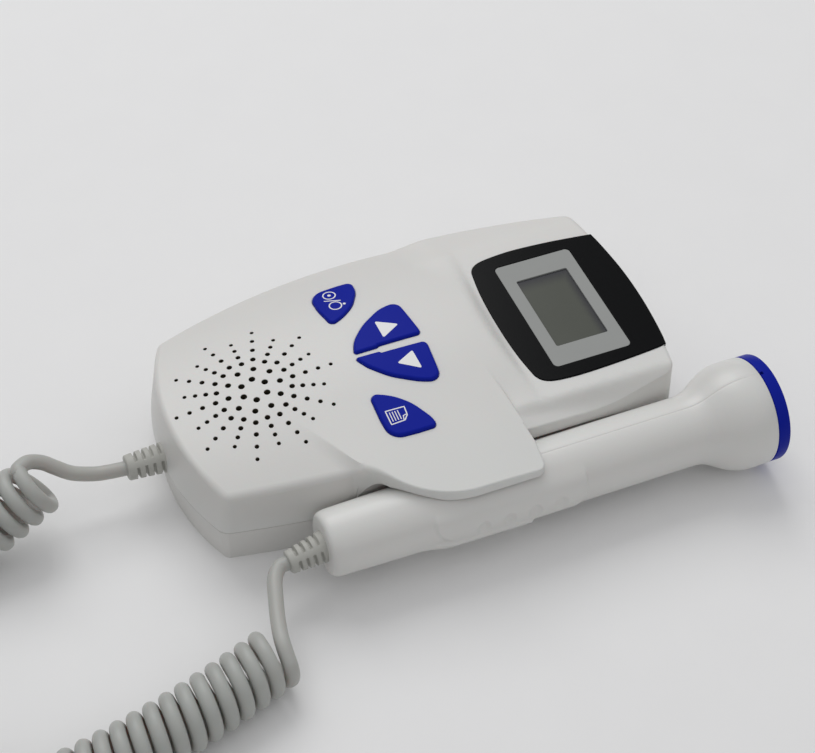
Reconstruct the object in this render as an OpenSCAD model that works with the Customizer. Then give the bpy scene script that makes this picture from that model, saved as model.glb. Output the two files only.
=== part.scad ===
// Pocket fetal heart monitor with a docked ultrasound probe on a coiled cord.
// Millimetres. X runs along the case toward the display, Y to the far side, Z up.
// Origin: middle of the flat underside, on the table.

/* [Case] */
// Height of the crown above the table
case_h = 32.4; // [31.4:0.1:34]
// Height of the parting line between the two shells
part_z = 12.5; // [12:0.1:13]
// Half of the groove left at the parting line
groove = 0.1; // [0.05:0.01:0.2]
// Wall thickness of both shells
wall = 2.2; // [1.9:0.1:2.4]
// Radius of the speaker end seen from above
speaker_end_r = 62.3; // [62:0.1:63]
// Radius of the long far side seen from above
far_side_r = 216; // [215.5:0.1:217]
// Radius of the display end seen from above
display_end_r = 142.5; // [142.2:0.1:143]
// Radius of the long near side seen from above
near_side_r = 373.4; // [373:0.1:374]
// Rounding of the four upright corners
corner_r = 4; // [3:0.5:5]
// Crown radius across the case
crown_r = 108; // [104:1:114]
// Crown radius along the case
crown_long_r = 420; // [400:5:460]

/* [Wing over the probe] */
// Height of the lip's flat underside
lip_z = 24.4; // [24:0.1:24.8]
// Fall of the wing toward the probe in degrees
wing_tilt = 6.28; // [6:0.01:6.6]

/* [Speaker grille] */
// Centre of the grille along the case
grille_x = -43.9; // [-46:0.1:-42]
// Spacing of the hole rings
ring_step = 3.6; // [3.2:0.1:3.6]
// Hole width near the centre
hole_in = 2.0; // [1.6:0.1:2.2]
// Hole width at the rim
hole_out = 1.3; // [1.0:0.1:1.5]
// Turn of the pattern in degrees
grille_turn = 0; // [0:1:35]

/* [Display] */
// Height of the flat display rim
rim_z = 28.3; // [28:0.1:28.5]
// Thickness of the display window
window_t = 1.4; // [1.2:0.1:1.6]
// Half length of the display frame along the case
frame_hx = 11.7; // [11:0.1:12]
// Half width of the display frame
frame_hy = 20; // [19:0.1:20.5]
// Half length of the display glass along the case
lcd_hx = 7.8; // [7:0.1:8.5]
// Half width of the display glass
lcd_hy = 13.1; // [12:0.1:14]
// Middle of the display frame along the case
lcd_x = 46.5; // [46:0.1:47]

/* [Keys] */
// Height of the keys above the crown
key_up = 0.85; // [0.6:0.05:1]
// Travel of the keys
key_travel = 0.8; // [0.5:0.1:0.8]
// Gap around each key
key_gap = 0.28; // [0.2:0.02:0.35]

/* [Probe] */
// Distance of the probe axis in front of the case centre line
probe_y = 43.5; // [43.5:0.1:44.5]
// Height of the probe axis
probe_z = 15.4; // [15.4:0.1:15.6]
// Handle radius
handle_r = 9.75; // [9.4:0.05:9.8]
// Head radius
head_r = 15.2; // [14.5:0.1:15.2]
// Wall thickness of the probe shells
probe_wall = 1.8; // [1.5:0.1:2]
// Gap between the handle and its cradle
cradle_gap = 0.3; // [0.3:0.05:0.4]
// Height of the grip pad above the handle
pad_up = 0.95; // [0.6:0.05:1.2]

/* [Cord] */
// Cord thickness
cord_d = 4; // [3.6:0.1:4]
// Radius from the coil's middle line to the cord's middle
coil_r = 6.6; // [6.5:0.05:6.7]

/* [Hidden] */
$fn = 72;

// plan circles: centre x, centre y, radius, inset per 12 mm of height above the groove
discs = [[-8, 0, speaker_end_r, 1.5], [8, -174, far_side_r, 0.8],
  [-73, 0, display_end_r, 0.4], [11.5, 337, near_side_r, 1.2]];
// rough place of each upright corner and the two circles that meet there
corners = [[-62, 30, 0, 1], [-62, -29, 0, 3], [65, 34, 2, 1], [66, -32, 2, 3]];
screw_at = [[-57, 22], [-57, -21], [60, 26], [60, -24]];
foot_at = [[-44, 20], [-44, -20], [50, 24], [50, -24]];
py = -probe_y;
envelope_r = handle_r + cradle_gap;

function cc(a, ra, b, rb, s) =
  let (d = norm(b - a), x = (d * d + ra * ra - rb * rb) / (2 * d))
  let (y = sqrt(ra * ra - x * x), u = (b - a) / d)
  a + x * u + s * y * [-u[1], u[0]];
function near_of(p, q, g) = norm(p - g) < norm(q - g) ? p : q;
function dxy(i) = [discs[i][0], discs[i][1]];
function corner_c(c) =
  let (a = dxy(c[2]), b = dxy(c[3]))
  let (ra = discs[c[2]][2] - corner_r, rb = discs[c[3]][2] - corner_r)
  near_of(cc(a, ra, b, rb, 1), cc(a, ra, b, rb, -1), [c[0], c[1]]);
function unit(v) = v / norm(v);

// one corner of a rounded outline: tangent arc of radius v[2] in n steps
function arc_at(a, v, b, n) =
  let (p = [v[0], v[1]], u = unit([a[0], a[1]] - p), w = unit([b[0], b[1]] - p))
  let (h = acos(min(1, max(-1, u * w))) / 2, t = v[2] / tan(h))
  let (c = p + unit(u + w) * v[2] / sin(h), s = p + u * t, e = p + w * t)
  let (a0 = atan2(s[1] - c[1], s[0] - c[0]), a1 = atan2(e[1] - c[1], e[0] - c[0]))
  let (d = a1 - a0 > 180 ? a1 - a0 - 360 : a1 - a0 < -180 ? a1 - a0 + 360 : a1 - a0)
  v[2] <= 0 ? [p] : [for (i = [0 : n]) c + v[2] * [cos(a0 + d * i / n), sin(a0 + d * i / n)]];
function rounded(p, n = 4) =
  let (m = len(p))
  [for (i = [0 : m - 1]) each arc_at(p[(i + m - 1) % m], p[i], p[(i + 1) % m], n)];
// outline grown outward by g along each corner's half angle
function grown(p, g) =
  let (m = len(p))
  [for (i = [0 : m - 1])
    let (q = [p[i][0], p[i][1]])
    let (u = unit([p[(i + m - 1) % m][0], p[(i + m - 1) % m][1]] - q))
    let (w = unit([p[(i + 1) % m][0], p[(i + 1) % m][1]] - q))
    let (h = acos(min(1, max(-1, u * w))) / 2, r = q - unit(u + w) * g / sin(h))
    [r[0], r[1], p[i][2] > 0 ? p[i][2] + g : 0]];

// outlines seen from above: x, y, corner radius
wing_line = [[-38.5, -11.9, 0], [-27.3, -31.5, 25], [-12, -49.6, 12],
  [18.3, -49.6, 2.5], [19.2, -40.7, 0], [17.6, -23.8, 0], [15.9, -11.9, 0]];
power_line = [[-16.8, 13.2, 1.4], [-18, 20.5, 16], [-17.9, 28.3, 4.6], [-9.5, 29.1, 20],
  [-4.7, 29.1, 1.8], [-5.2, 24.2, 9], [-8.6, 18.4, 12], [-12.6, 15.2, 14]];
up_line = [[-15.4, 0.5, 0.7], [-13.9, 4.9, 12], [-9.2, 9.9, 20], [-2.6, 14.3, 10],
  [3.1, 15.3, 2.6], [4.6, 1.05, 1.3]];
down_line = [[-15.6, -1.3, 0.8], [4.6, -1.65, 1.5], [3.5, -15.5, 2.8], [-2.2, -13.9, 18],
  [-9.3, -9.7, 18], [-13.7, -5, 10]];
record_line = [[-16.9, -13.2, 1.6], [-11, -15.9, 16], [-7, -19.9, 14], [-3.9, -25.6, 8],
  [-3.4, -28.7, 1.4], [-9, -28.75, 0], [-16.6, -28.4, 4.2], [-17.05, -22, 0]];
window_line = [[26.9, 0, 0], [28.3, 25.2, 4.7], [40.7, 24.8, 0], [67.2, 22.9, 0.6],
  [68.4, 12, 0], [68.9, 0, 0], [68.4, -12, 0], [67.2, -22.9, 0.6], [40.7, -24.8, 0],
  [28.3, -25.2, 4.7]];

module disc_cut(i, z0, z1, k0, k1) {
  translate([discs[i][0], discs[i][1], z0])
    cylinder(h = z1 - z0, r1 = discs[i][2] - k0, r2 = discs[i][2] - k1, $fn = 240);
  if (i == 0)
    translate([-20, -55, z0]) cube([100, 110, z1 - z0]);
}

// wedge outside the rounding of one upright corner
module corner_cut(c, z0, z1, k0, k1) {
  p = corner_c(c);
  u = unit(p - dxy(c[2]));
  w = unit(p - dxy(c[3]));
  half = acos(u * w) / 2;
  turn = atan2(u[1] + w[1], u[0] + w[0]);
  over = 0.01 * (k0 - k1) / (z1 - z0);
  r0 = corner_r - k0 - over;
  r1 = corner_r - k1 + over;
  translate([p[0], p[1], 0])
    difference() {
      rotate([0, 0, turn])
        rotate([90, 0, 0])
          translate([0, 0, -9])
            linear_extrude(18)
              polygon([[r0 * cos(half) + 0.25, z0 - 0.01], [12, z0 - 0.01],
                [12, z1 + 0.01], [r1 * cos(half) + 0.25, z1 + 0.01]]);
      translate([0, 0, z0 - 0.01])
        cylinder(h = z1 - z0 + 0.02, r1 = r0, r2 = r1);
    }
}

// case outline between two heights, inset by i0 at the bottom and i1 at the top
module case_block(z0, z1, i0, i1, d0, d1) {
  difference() {
    intersection() {
      disc_cut(0, z0, z1, i0 + d0 * discs[0][3], i1 + d1 * discs[0][3]);
      disc_cut(1, z0, z1, i0 + d0 * discs[1][3], i1 + d1 * discs[1][3]);
      disc_cut(2, z0, z1, i0 + d0 * discs[2][3], i1 + d1 * discs[2][3]);
      disc_cut(3, z0, z1, i0 + d0 * discs[3][3], i1 + d1 * discs[3][3]);
    }
    if (corner_r - max(i0 + d0, i1 + d1) > 1.3)
      for (c = corners) corner_cut(c, z0, z1, i0 + d0, i1 + d1);
  }
}

// everything under the crown, moved out by d
module barrel(d) {
  translate([-8, 0, case_h - crown_r])
    rotate([0, 90, 0])
      rotate_extrude($fn = 120)
        intersection() {
          translate([crown_r - crown_long_r, 0]) circle(r = crown_long_r + d, $fn = 200);
          translate([55, -92]) square([70, 184]);
        }
}

// everything under the wing's top, moved out by d
module wing_top(d) {
  translate([-8, -11.9, case_h - 0.66])
    rotate([wing_tilt, 0, 0])
      translate([0, 0, -crown_long_r])
        rotate([90, 0, 0])
          cylinder(r = crown_long_r + d, h = 120, center = true, $fn = 360);
}

module wing_prism(g, z0, z1) {
  translate([0, 0, z0])
    linear_extrude(z1 - z0)
      polygon(rounded(g == 0 ? wing_line : grown(wing_line, g)));
}

module along_x(x0, x1, ra, rb) {
  translate([x0, py, probe_z])
    rotate([0, 90, 0])
      cylinder(h = x1 - x0, r1 = ra, r2 = rb);
}

// probe outline turned about its axis, shrunk by d
module probe_turned(d) {
  translate([0, py, probe_z])
    rotate([0, 90, 0])
      rotate_extrude()
        polygon([[0, -41.5 + d], [7.6 - d, -41.5 + d], [8.5 - d, -40.9 + d * 0.6],
          [8.9 - d, -40], [handle_r - 0.05 - d, 10], [handle_r - d, 64],
          [handle_r + 0.3 - d, 66], [handle_r + 1.15 - d, 68], [head_r - 3 - d, 70],
          [head_r - 1.8 - d, 72], [head_r - 0.9 - d, 74], [head_r - 0.3 - d, 76],
          [head_r - d, 79], [head_r - 0.2 - d, 84.3], [0, 84.3]]);
}

// room kept free for the probe
module probe_room(g) {
  along_x(-76, 64, envelope_r + g, envelope_r + g);
  translate([0, py, probe_z])
    rotate([0, 90, 0])
      rotate_extrude()
        polygon([[0, 63.9], [envelope_r + g, 63.9], [envelope_r + 0.4 + g, 66],
          [envelope_r + 1.4 + g, 68], [head_r - 2.4 + g, 70], [head_r - 1.2 + g, 72],
          [head_r + 0.5 + g, 76], [head_r + 0.5 + g, 92], [0, 92]]);
}

module key_top(d) {
  barrel(d);
  intersection() {
    wing_top(d);
    translate([-60, -60, 10]) cube([90, 48.1, 40]);
  }
}

module grille_holes() {
  translate([grille_x, 0, 22])
    rotate([0, 0, grille_turn]) {
      for (k = [0 : 9])
        for (j = [2 : 6])
          rotate([0, 0, 36 * k])
            translate([j * ring_step, 0, 0])
              cylinder(h = 14, d = hole_in - (hole_in - hole_out) * (j - 1) / 5, $fn = 13);
      for (k = [0 : 9])
        for (j = [0 : 3])
          rotate([0, 0, 36 * k + 18])
            translate([(2.77 + 0.78 * j) * ring_step, 0, 0])
              cylinder(h = 14, d = hole_in - (hole_in - hole_out) * (j + 2) / 5, $fn = 13);
      for (k = [0 : 5])
        rotate([0, 0, 60 * k + 20])
          translate([ring_step, 0, 0])
            cylinder(h = 14, d = hole_in, $fn = 13);
    }
}

module relief_hole(r) {
  translate([-76, 0.8, 13.2]) rotate([0, 90, 0]) cylinder(h = 12, r = r);
}

module upper_housing() {
  color("#e6e6e2")
  difference() {
    union() {
      difference() {
        union() {
          intersection() {
            case_block(part_z + groove, 36.5, 0, 0, 0, 2);
            union() {
              barrel(0);
              translate([24, 0, 0])
                rotate([90, 0, 90])
                  linear_extrude(60)
                    polygon([[-42, 10], [42, 10], [42, rim_z - 2.5], [29.5, rim_z],
                      [-29.5, rim_z], [-42, rim_z - 9.8]]);
            }
          }
          intersection() {
            wing_prism(0, lip_z, 38);
            wing_top(0);
          }
        }
        difference() {
          intersection() {
            case_block(part_z - 1, 36.5, wall, wall, 0, 2);
            barrel(-wall);
          }
          along_x(-80, 68, envelope_r + 2.2, envelope_r + 2.2);
          translate([22, -50, 24.4]) cube([60, 100, 20]);
        }
      }
      for (p = screw_at) {
        translate([p[0], p[1], part_z + 0.1])
          cylinder(h = 13, r = 3.4);
      }
      for (p = [[-17.8, -9, 9.4], [-17.8, 8, 9.4], [49, -25, 4.4], [49, 28, 4.4]])
        translate([p[0], p[1], 20.6]) cylinder(h = p[2], r = 2, $fn = 32);
    }
    probe_room(0);
    // step down to the display
    rotate([90, 0, 0])
      translate([0, 0, -60])
        linear_extrude(120)
          polygon([[22.3, rim_z + 3.5], [26.3, rim_z], [90, rim_z], [90, 50], [22.3, 50]]);
    translate([0, 0, rim_z - window_t])
      linear_extrude(4)
        polygon(rounded(grown(window_line, 0.15)));
    translate([lcd_x - frame_hx - 0.2, -frame_hy - 0.2, 20])
      cube([2 * frame_hx + 0.4, 2 * frame_hy + 0.4, 10]);
    for (l = [power_line, up_line, down_line, record_line])
      translate([0, 0, 22])
        linear_extrude(14)
          polygon(rounded(grown(l, key_gap)));
    grille_holes();
    for (p = screw_at)
      translate([p[0], p[1], 12]) cylinder(h = 7, r = 1.5);
    relief_hole(4);
    translate([-12, 30, 9]) rotate([-90, 0, 0]) cylinder(h = 14, r = 3.2);
  }
}

module lower_housing() {
  color("#e6e6e2")
  difference() {
    union() {
      difference() {
        union() {
          case_block(0, part_z - groove, 1.5, 0, 0, 0);
          translate([-22, -44, 0.6]) cube([39, 14, 8.4]);
        }
        difference() {
          union() {
            case_block(2.2, part_z - 1, 3.3, 3.3, 0, 0);
            case_block(part_z - 1.5, part_z + 1, 2.2, 2.2, 0, 0);
          }
          along_x(-80, 68, envelope_r + 2.2, envelope_r + 2.2);
        }
      }
      difference() {
        case_block(part_z - 4, part_z + 1.1, 2.8, 2.8, 0, 0);
        case_block(part_z - 5, part_z + 2, 4, 4, 0, 0);
        along_x(-80, 68, envelope_r + 2.4, envelope_r + 2.4);
      }
      for (p = screw_at) {
        translate([p[0], p[1], 0.5]) cylinder(h = 6, r = 4.4);
        translate([p[0], p[1], 0.5]) cylinder(h = part_z - 0.6, r = 3.4);
      }
      translate([3, -18, 1]) cube([59, 36, 17.7]);
      translate([3, -20.5, 1]) cube([60, 41, 2.6]);
    }
    probe_room(0);
    translate([4.5, -16.5, -1]) cube([56, 33, 18.7]);
    translate([3.7, -17.8, -1]) cube([80, 35.6, 3.1]);
    translate([3.7, -18.9, 0.7]) cube([80, 37.8, 1.2]);
    for (p = screw_at) {
      translate([p[0], p[1], -1]) cylinder(h = 5, r = 3.2);
      translate([p[0], p[1], -1]) cylinder(h = 15, r = 1.7);
    }
    for (p = foot_at)
      translate([p[0], p[1], -1]) cylinder(h = 1.8, r = 3.6);
    relief_hole(4);
    translate([-12, 30, 9]) rotate([-90, 0, 0]) cylinder(h = 14, r = 3.2);
  }
}

module display_window() {
  color("#0c0e10")
  difference() {
    intersection() {
      translate([0, 0, rim_z - window_t + 0.2])
        linear_extrude(window_t)
          polygon(rounded(window_line));
      disc_cut(2, 20, 32, 0.6, 0.6);
    }
    translate([lcd_x, 0, 20])
      linear_extrude(12)
        polygon(rounded([[-frame_hx, -frame_hy, 1.5], [frame_hx, -frame_hy, 1.5],
          [frame_hx, frame_hy, 1.5], [-frame_hx, frame_hy, 1.5]]));
  }
}

module window_gasket() {
  color("#202224")
  difference() {
    translate([0, 0, rim_z - window_t])
      linear_extrude(0.2)
        polygon(rounded(grown(window_line, -1)));
    translate([lcd_x - 12.6, -20.9, 20]) cube([25.2, 41.8, 10]);
  }
}

module lcd_bezel() {
  color("#9ea3a3")
  difference() {
    translate([lcd_x, 0, rim_z - 2.2])
      linear_extrude(2.1)
        polygon(rounded(grown([[-frame_hx, -frame_hy, 1.5], [frame_hx, -frame_hy, 1.5],
          [frame_hx, frame_hy, 1.5], [-frame_hx, frame_hy, 1.5]], -0.05)));
    translate([lcd_x - lcd_hx, -lcd_hy, 20]) cube([2 * lcd_hx, 2 * lcd_hy, 12]);
  }
}

module lcd_glass() {
  color("#50534c")
  translate([lcd_x - lcd_hx + 0.05, -lcd_hy + 0.05, rim_z - 2.2])
    cube([2 * lcd_hx - 0.1, 2 * lcd_hy - 0.1, 1.5]);
}

module lcd_backlight() {
  color("#d8dcd8")
  difference() {
    translate([lcd_x - 9.6, -15.4, 22]) cube([19.2, 30.8, rim_z - 24.2]);
    translate([lcd_x - 8, -8, 21]) cube([16, 16, 1.6]);
  }
}

// one key: top pad, flange under the roof and a stem over its dome
module key_body(line, c) {
  difference() {
    intersection() {
      translate([0, 0, 24]) linear_extrude(12) polygon(rounded(line));
      key_top(key_up);
    }
    barrel(-wall - 1.4);
  }
  difference() {
    intersection() {
      translate([0, 0, 20]) linear_extrude(14) polygon(rounded(grown(line, 0.75)));
      barrel(-wall - 0.4);
    }
    barrel(-wall - 1.4);
  }
  difference() {
    translate([c[0], c[1], 24]) cylinder(h = 6, r = 2.2);
    translate([0, 0, 3]) difference() {
      translate([c[0] - 5, c[1] - 5, 20]) cube([10, 10, 20]);
      barrel(-wall - 4);
    }
  }
}

module button_power() {
  color("#121c8c") key_body(power_line, [-12, 22.5]);
}
module button_up() {
  color("#121c8c") key_body(up_line, [-3.5, 6.2]);
}
module button_down() {
  color("#121c8c") key_body(down_line, [-3.5, -7]);
}
module button_record() {
  color("#121c8c") key_body(record_line, [-11.5, -21.5]);
}

module keypad_mat() {
  color("#c9cdca") {
    translate([-15.4, -24.5, 20.6]) cube([21.4, 50, 1]);
    for (p = [[-12, 22.5], [-3.5, 6.2], [-3.5, -7], [-11.5, -21.5]])
      translate([p[0], p[1], 21.5]) cylinder(h = 1.4, r1 = 3.2, r2 = 2);
  }
}

module main_board() {
  color("#1f5a3a")
  difference() {
    translate([-20, -28, 19]) cube([72, 59, 1.6]);
    for (p = [[-17.8, -9], [-17.8, 8], [49, -25], [49, 28]])
      translate([p[0], p[1], 18]) cylinder(h = 4, r = 1.1);
  }
}

module speaker_frame() {
  color("#3a3d40")
  difference() {
    translate([grille_x, 0, 20]) cylinder(h = 5, r1 = 13, r2 = 20);
    translate([grille_x, 0, 20.8]) cylinder(h = 5, r1 = 12.6, r2 = 19);
    translate([grille_x, 0, 19]) cylinder(h = 4, r = 9);
  }
}

module speaker_cone() {
  color("#26282b")
  difference() {
    translate([grille_x, 0, 21.4]) cylinder(h = 3.4, r1 = 8, r2 = 17.6);
    translate([grille_x, 0, 21.9]) cylinder(h = 3.4, r1 = 8, r2 = 17.6);
  }
}

module speaker_magnet() {
  color("#8d9094")
  translate([grille_x, 0, 13]) cylinder(h = 7, r = 11);
}

module speaker_gasket() {
  color("#2c2e30")
  difference() {
    translate([grille_x, 0, 25]) cylinder(h = 1.2, r = 20);
    translate([grille_x, 0, 24]) cylinder(h = 4, r = 18.2);
  }
}

module battery_door() {
  color("#e0e0dc")
  difference() {
    union() {
      intersection() {
        translate([4, -17.5, 0.2]) cube([80, 35, 1.6]);
        case_block(0.2, 1.9, 2.4, 1.6, 0, 0);
      }
      translate([8, -18.6, 0.9]) cube([50, 37.2, 0.7]);
      translate([8, -15.5, 1.7]) cube([30, 1, 1.5]);
      translate([8, 14.5, 1.7]) cube([30, 1, 1.5]);
    }
    for (x = [10 : 3 : 22])
      translate([x, -6, -0.6]) cube([1.2, 12, 1.1]);
  }
}

module battery(y) {
  translate([8, y, 10.15]) rotate([0, 90, 0]) cylinder(h = 50, r = 7.2);
  translate([58, y, 10.15]) rotate([0, 90, 0]) cylinder(h = 1.6, r = 2.6);
}
module battery_left() {
  color("#b08a3c") battery(-7.8);
}
module battery_right() {
  color("#b08a3c") battery(7.8);
}
module battery_contacts() {
  color("#c9ccce") {
    translate([4.5, -15, 4]) cube([0.5, 30, 11]);
    translate([60, -14, 5]) cube([0.5, 12, 10]);
    translate([60, 2, 5]) cube([0.5, 12, 10]);
  }
}
module battery_springs() {
  color("#c9ccce")
  for (y = [-7.8, 7.8])
    translate([5, y, 10.15])
      rotate([0, 90, 0])
        difference() {
          cylinder(h = 3, r1 = 4.5, r2 = 2.5);
          translate([0, 0, -1]) cylinder(h = 5, r = 1.7);
        }
}

module housing_screws() {
  color("#a7abae")
  for (p = screw_at)
    difference() {
      union() {
        translate([p[0], p[1], 2.2]) cylinder(h = 1.8, r = 2.8);
        translate([p[0], p[1], 3.9]) cylinder(h = 13, r = 1.4);
      }
      translate([p[0] - 2, p[1] - 0.3, 2.1]) cube([4, 0.6, 0.9]);
      translate([p[0] - 0.3, p[1] - 2, 2.1]) cube([0.6, 4, 0.9]);
    }
}

module rubber_feet() {
  color("#3c3e40")
  for (p = foot_at)
    translate([p[0], p[1], 0]) cylinder(h = 0.8, r = 3.5);
}

module earphone_jack() {
  color("#2a2c2e")
  difference() {
    union() {
      translate([-12, 29, 9]) rotate([-90, 0, 0]) cylinder(h = 11.3, r = 3.1);
      translate([-16, 24, 5.4]) cube([8, 6, 7.2]);
    }
    translate([-12, 25, 9]) rotate([-90, 0, 0]) cylinder(h = 16, r = 1.8);
  }
}

// tapered cord guard along +Z with four pairs of curved slots
module guard(l, ra, rb) {
  difference() {
    cylinder(h = l, r1 = ra, r2 = rb);
    for (i = [0 : 3])
      translate([0, 0, l * (0.2 + 0.19 * i)])
        difference() {
          cylinder(h = 0.6, r = 6);
          translate([0, 0, -1]) cylinder(h = 3, r = ra - 1.2 - 0.12 * i);
          translate([-1.3, -7, -1]) cube([2.6, 14, 3]);
        }
  }
}

module strain_relief_body() {
  color("#b9b9b3") {
    translate([-70.9, 0.8, 13.2]) rotate([0, -90, 0]) guard(9.2, 4.3, 3.45);
    translate([-71, 0.8, 13.2]) rotate([0, 90, 0]) cylinder(h = 5, r = 3.8);
    translate([-66.2, 0.8, 13.2]) rotate([0, 90, 0]) cylinder(h = 1.6, r = 5.2);
  }
}

module strain_relief_probe() {
  color("#b9b9b3")
  translate([-41.5, -43.7, 15.2])
    rotate([0, 0, 4.6])
      rotate([0, -95.8, 0])
        guard(10, 4.3, 3.1);
}

// cord route: middle line of the coil in plan, then the helix about it
leg1_l = 57;
leg1_turn = 11.8;
bend_l = 115.9;
bend_turn = 174.7;
leg2_l = 30.2;
rise_l = 18;
coil_from = [-61.9, -66.3];
coil_head = 201.5;
coil_z = 8.7;
coil_l = leg1_l + bend_l + leg2_l;
curls = 37.917;
lead_curls = 0.023;

function arc_xy(p, h, l, k) =
  abs(k) < 0.0001 ? p + l * [cos(h), sin(h)]
  : let (r = 180 / (PI * k), g = h - k * l)
    p + r * [sin(h), -cos(h)] - r * [sin(g), -cos(g)];
k1 = leg1_turn / leg1_l;
k2 = bend_turn / bend_l;
p1 = arc_xy(coil_from, coil_head, leg1_l, k1);
h1 = coil_head - leg1_turn;
p2 = arc_xy(p1, h1, bend_l, k2);
h2 = h1 - bend_turn;
function axis_xy(s) =
  s < leg1_l ? arc_xy(coil_from, coil_head, s, k1)
  : s < leg1_l + bend_l ? arc_xy(p1, h1, s - leg1_l, k2)
  : arc_xy(p2, h2, s - leg1_l - bend_l, 0);
function axis_h(s) =
  s < leg1_l ? coil_head - k1 * s
  : s < leg1_l + bend_l ? h1 - k2 * (s - leg1_l) : h2;
function clamp01(t) = min(1, max(0, t));
function smooth(t) = let (c = clamp01(t)) c * c * (3 - 2 * c);
// the coil climbs to its lead over the last stretch
function axis_z(s) =
  let (u = s - coil_l + 34, t = clamp01(u / rise_l))
  coil_z + 0.38 * (rise_l * (t * t * t - t * t * t * t / 2) + max(u - rise_l, 0));
// pitch of the helix on each stretch
pitch1 = 4.66;
pitch3 = 5.3;
pitch4 = 4.6;
n1 = leg1_l / pitch1;
n3 = (leg2_l - rise_l) / pitch3;
n4 = rise_l / pitch4;
n2 = curls - n1 - n3 - n4;
function turns(s) =
  min(s, leg1_l) / pitch1 + clamp01((s - leg1_l) / bend_l) * n2
  + clamp01((s - leg1_l - bend_l) / (leg2_l - rise_l)) * n3
  + max(s - coil_l + rise_l, 0) / pitch4;
function coil_pt(s) =
  let (c = axis_xy(s), w = smooth((s - coil_l + 90) / 78))
  let (lean = -7 + 43 * w, h = axis_h(s) - 9 + 5 * w, f = 360 * turns(s) - 320)
  let (up = [-sin(lean) * cos(h), -sin(lean) * sin(h), cos(lean)], side = [-sin(h), cos(h), 0])
  [c[0], c[1], axis_z(s)] + coil_r * (cos(f) * up + sin(f) * side);
coil_s0 = 0.3;
coil_n = 300;
function coil_s(i) = coil_s0 + (coil_l - coil_s0) * i / coil_n;
coil_c = [for (i = [0 : coil_n]) coil_pt(coil_s(i))];
// ring of points round a path point, square to the path
function ring_at(p, t, ref, r, n) =
  let (a = unit(cross(t, ref)), b = cross(t, a))
  [for (i = [0 : n - 1]) p + r * (cos(360 * i / n) * a + sin(360 * i / n) * b)];
function tangent(c, i) = unit(c[min(i + 1, len(c) - 1)] - c[max(i - 1, 0)]);
module tube(c, t, ref, r, n) {
  m = len(c);
  pts = [for (i = [0 : m - 1]) each ring_at(c[i], t[i], ref[i], r, n)];
  sides = [for (i = [0 : m - 2]) for (j = [0 : n - 1])
    each [[i * n + j, i * n + (j + 1) % n, (i + 1) * n + j],
      [i * n + (j + 1) % n, (i + 1) * n + (j + 1) % n, (i + 1) * n + j]]];
  caps = concat([for (j = [1 : n - 2]) [0, j + 1, j]],
    [for (j = [1 : n - 2]) [(m - 1) * n, (m - 1) * n + j, (m - 1) * n + j + 1]]);
  polyhedron(points = pts, faces = concat(sides, caps), convexity = 10);
}
function spline(p, n) =
  let (m = len(p), q = concat([2 * p[0] - p[1]], p, [2 * p[m - 1] - p[m - 2]]))
  concat([for (i = [1 : m - 1]) for (k = [0 : n - 1])
    let (t = k / n, a = q[i - 1], b = q[i], c = q[i + 1], d = q[i + 2])
    0.5 * (2 * b + (c - a) * t + (2 * a - 5 * b + 4 * c - d) * t * t
      + (3 * b - a - 3 * c + d) * t * t * t)], [p[m - 1]]);
coil_t0 = unit(coil_pt(coil_s0 + 0.02) - coil_pt(coil_s0));
coil_t1 = unit(coil_pt(coil_l) - coil_pt(coil_l - 0.02));
guard_dir = [-0.9917, -0.0798, -0.1011];
guard_tip = [-41.5, -43.7, 15.2] + 10.02 * guard_dir;
route_probe = [guard_tip, guard_tip + 2.2 * guard_dir, [-55.4, -46.4, 13.8],
  [-56.7, -49, 13.75], [-57.9, -52.9, 13.7], [-59.4, -58, 13.7], [-60.7, -63.5, 13.9], [-61.3, -67.8, 13.9],
  coil_c[0]];
route_body = [coil_c[coil_n], coil_c[coil_n] + 1.5 * coil_t1, [-104.8, 4.5, 22.5],
  [-101.2, 4.8, 20.5], [-98.1, 3.8, 18.2], [-94.2, 2.5, 15.6], [-88.8, 1.8, 13.6],
  [-84.8, 1.3, 13.2], [-80.1, 0.8, 13.2]];
lead_p = spline(route_probe, 4);
lead_b = spline(route_body, 4);
function seg_gap(p, a, b) =
  let (d = b - a, t = clamp01((p - a) * d / (d * d))) norm(p - a - t * d);
echo(coil_gap = min([for (i = [0 : coil_n - 12]) for (j = [5 : 10])
  seg_gap(coil_c[i], coil_c[i + j], coil_c[i + j + 1])]) - cord_d);
function steps(p) = [for (i = [1 : len(p) - 1]) norm(p[i] - p[i - 1])];
function total(v) = v * [for (x = v) 1];
echo(cord_length = total(steps(lead_p)) + total(steps(coil_c)) + total(steps(lead_b)));

module cord_coil() {
  color("#a8aba8")
  tube(coil_c,
    [for (i = [0 : coil_n]) i == 0 ? coil_t0 : i == coil_n ? coil_t1 : tangent(coil_c, i)],
    [for (i = [0 : coil_n])
      let (s = coil_s(i), c = axis_xy(s)) coil_c[i] - [c[0], c[1], axis_z(s)]],
    cord_d / 2, 6);
}
module cord_lead_probe() {
  color("#a8aba8")
  tube(lead_p,
    [for (i = [0 : len(lead_p) - 1]) i == len(lead_p) - 1 ? coil_t0 : i < 4 ? guard_dir : tangent(lead_p, i)],
    [for (p = lead_p) [1, 0, 0.3]], cord_d / 2, 8);
}
module cord_lead_body() {
  color("#a8aba8")
  tube(lead_b,
    [for (i = [0 : len(lead_b) - 1])
      i == 0 ? coil_t1 : i == len(lead_b) - 1 ? [1, 0, 0] : tangent(lead_b, i)],
    [for (p = lead_b) [0, 0.1, 1]], cord_d / 2, 8);
}

// near or far half of the space about the probe axis
module half_space(side) {
  translate([-60, side > 0 ? py + 0.05 : py - 30.05, probe_z - 20]) cube([160, 30, 40]);
}

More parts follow.
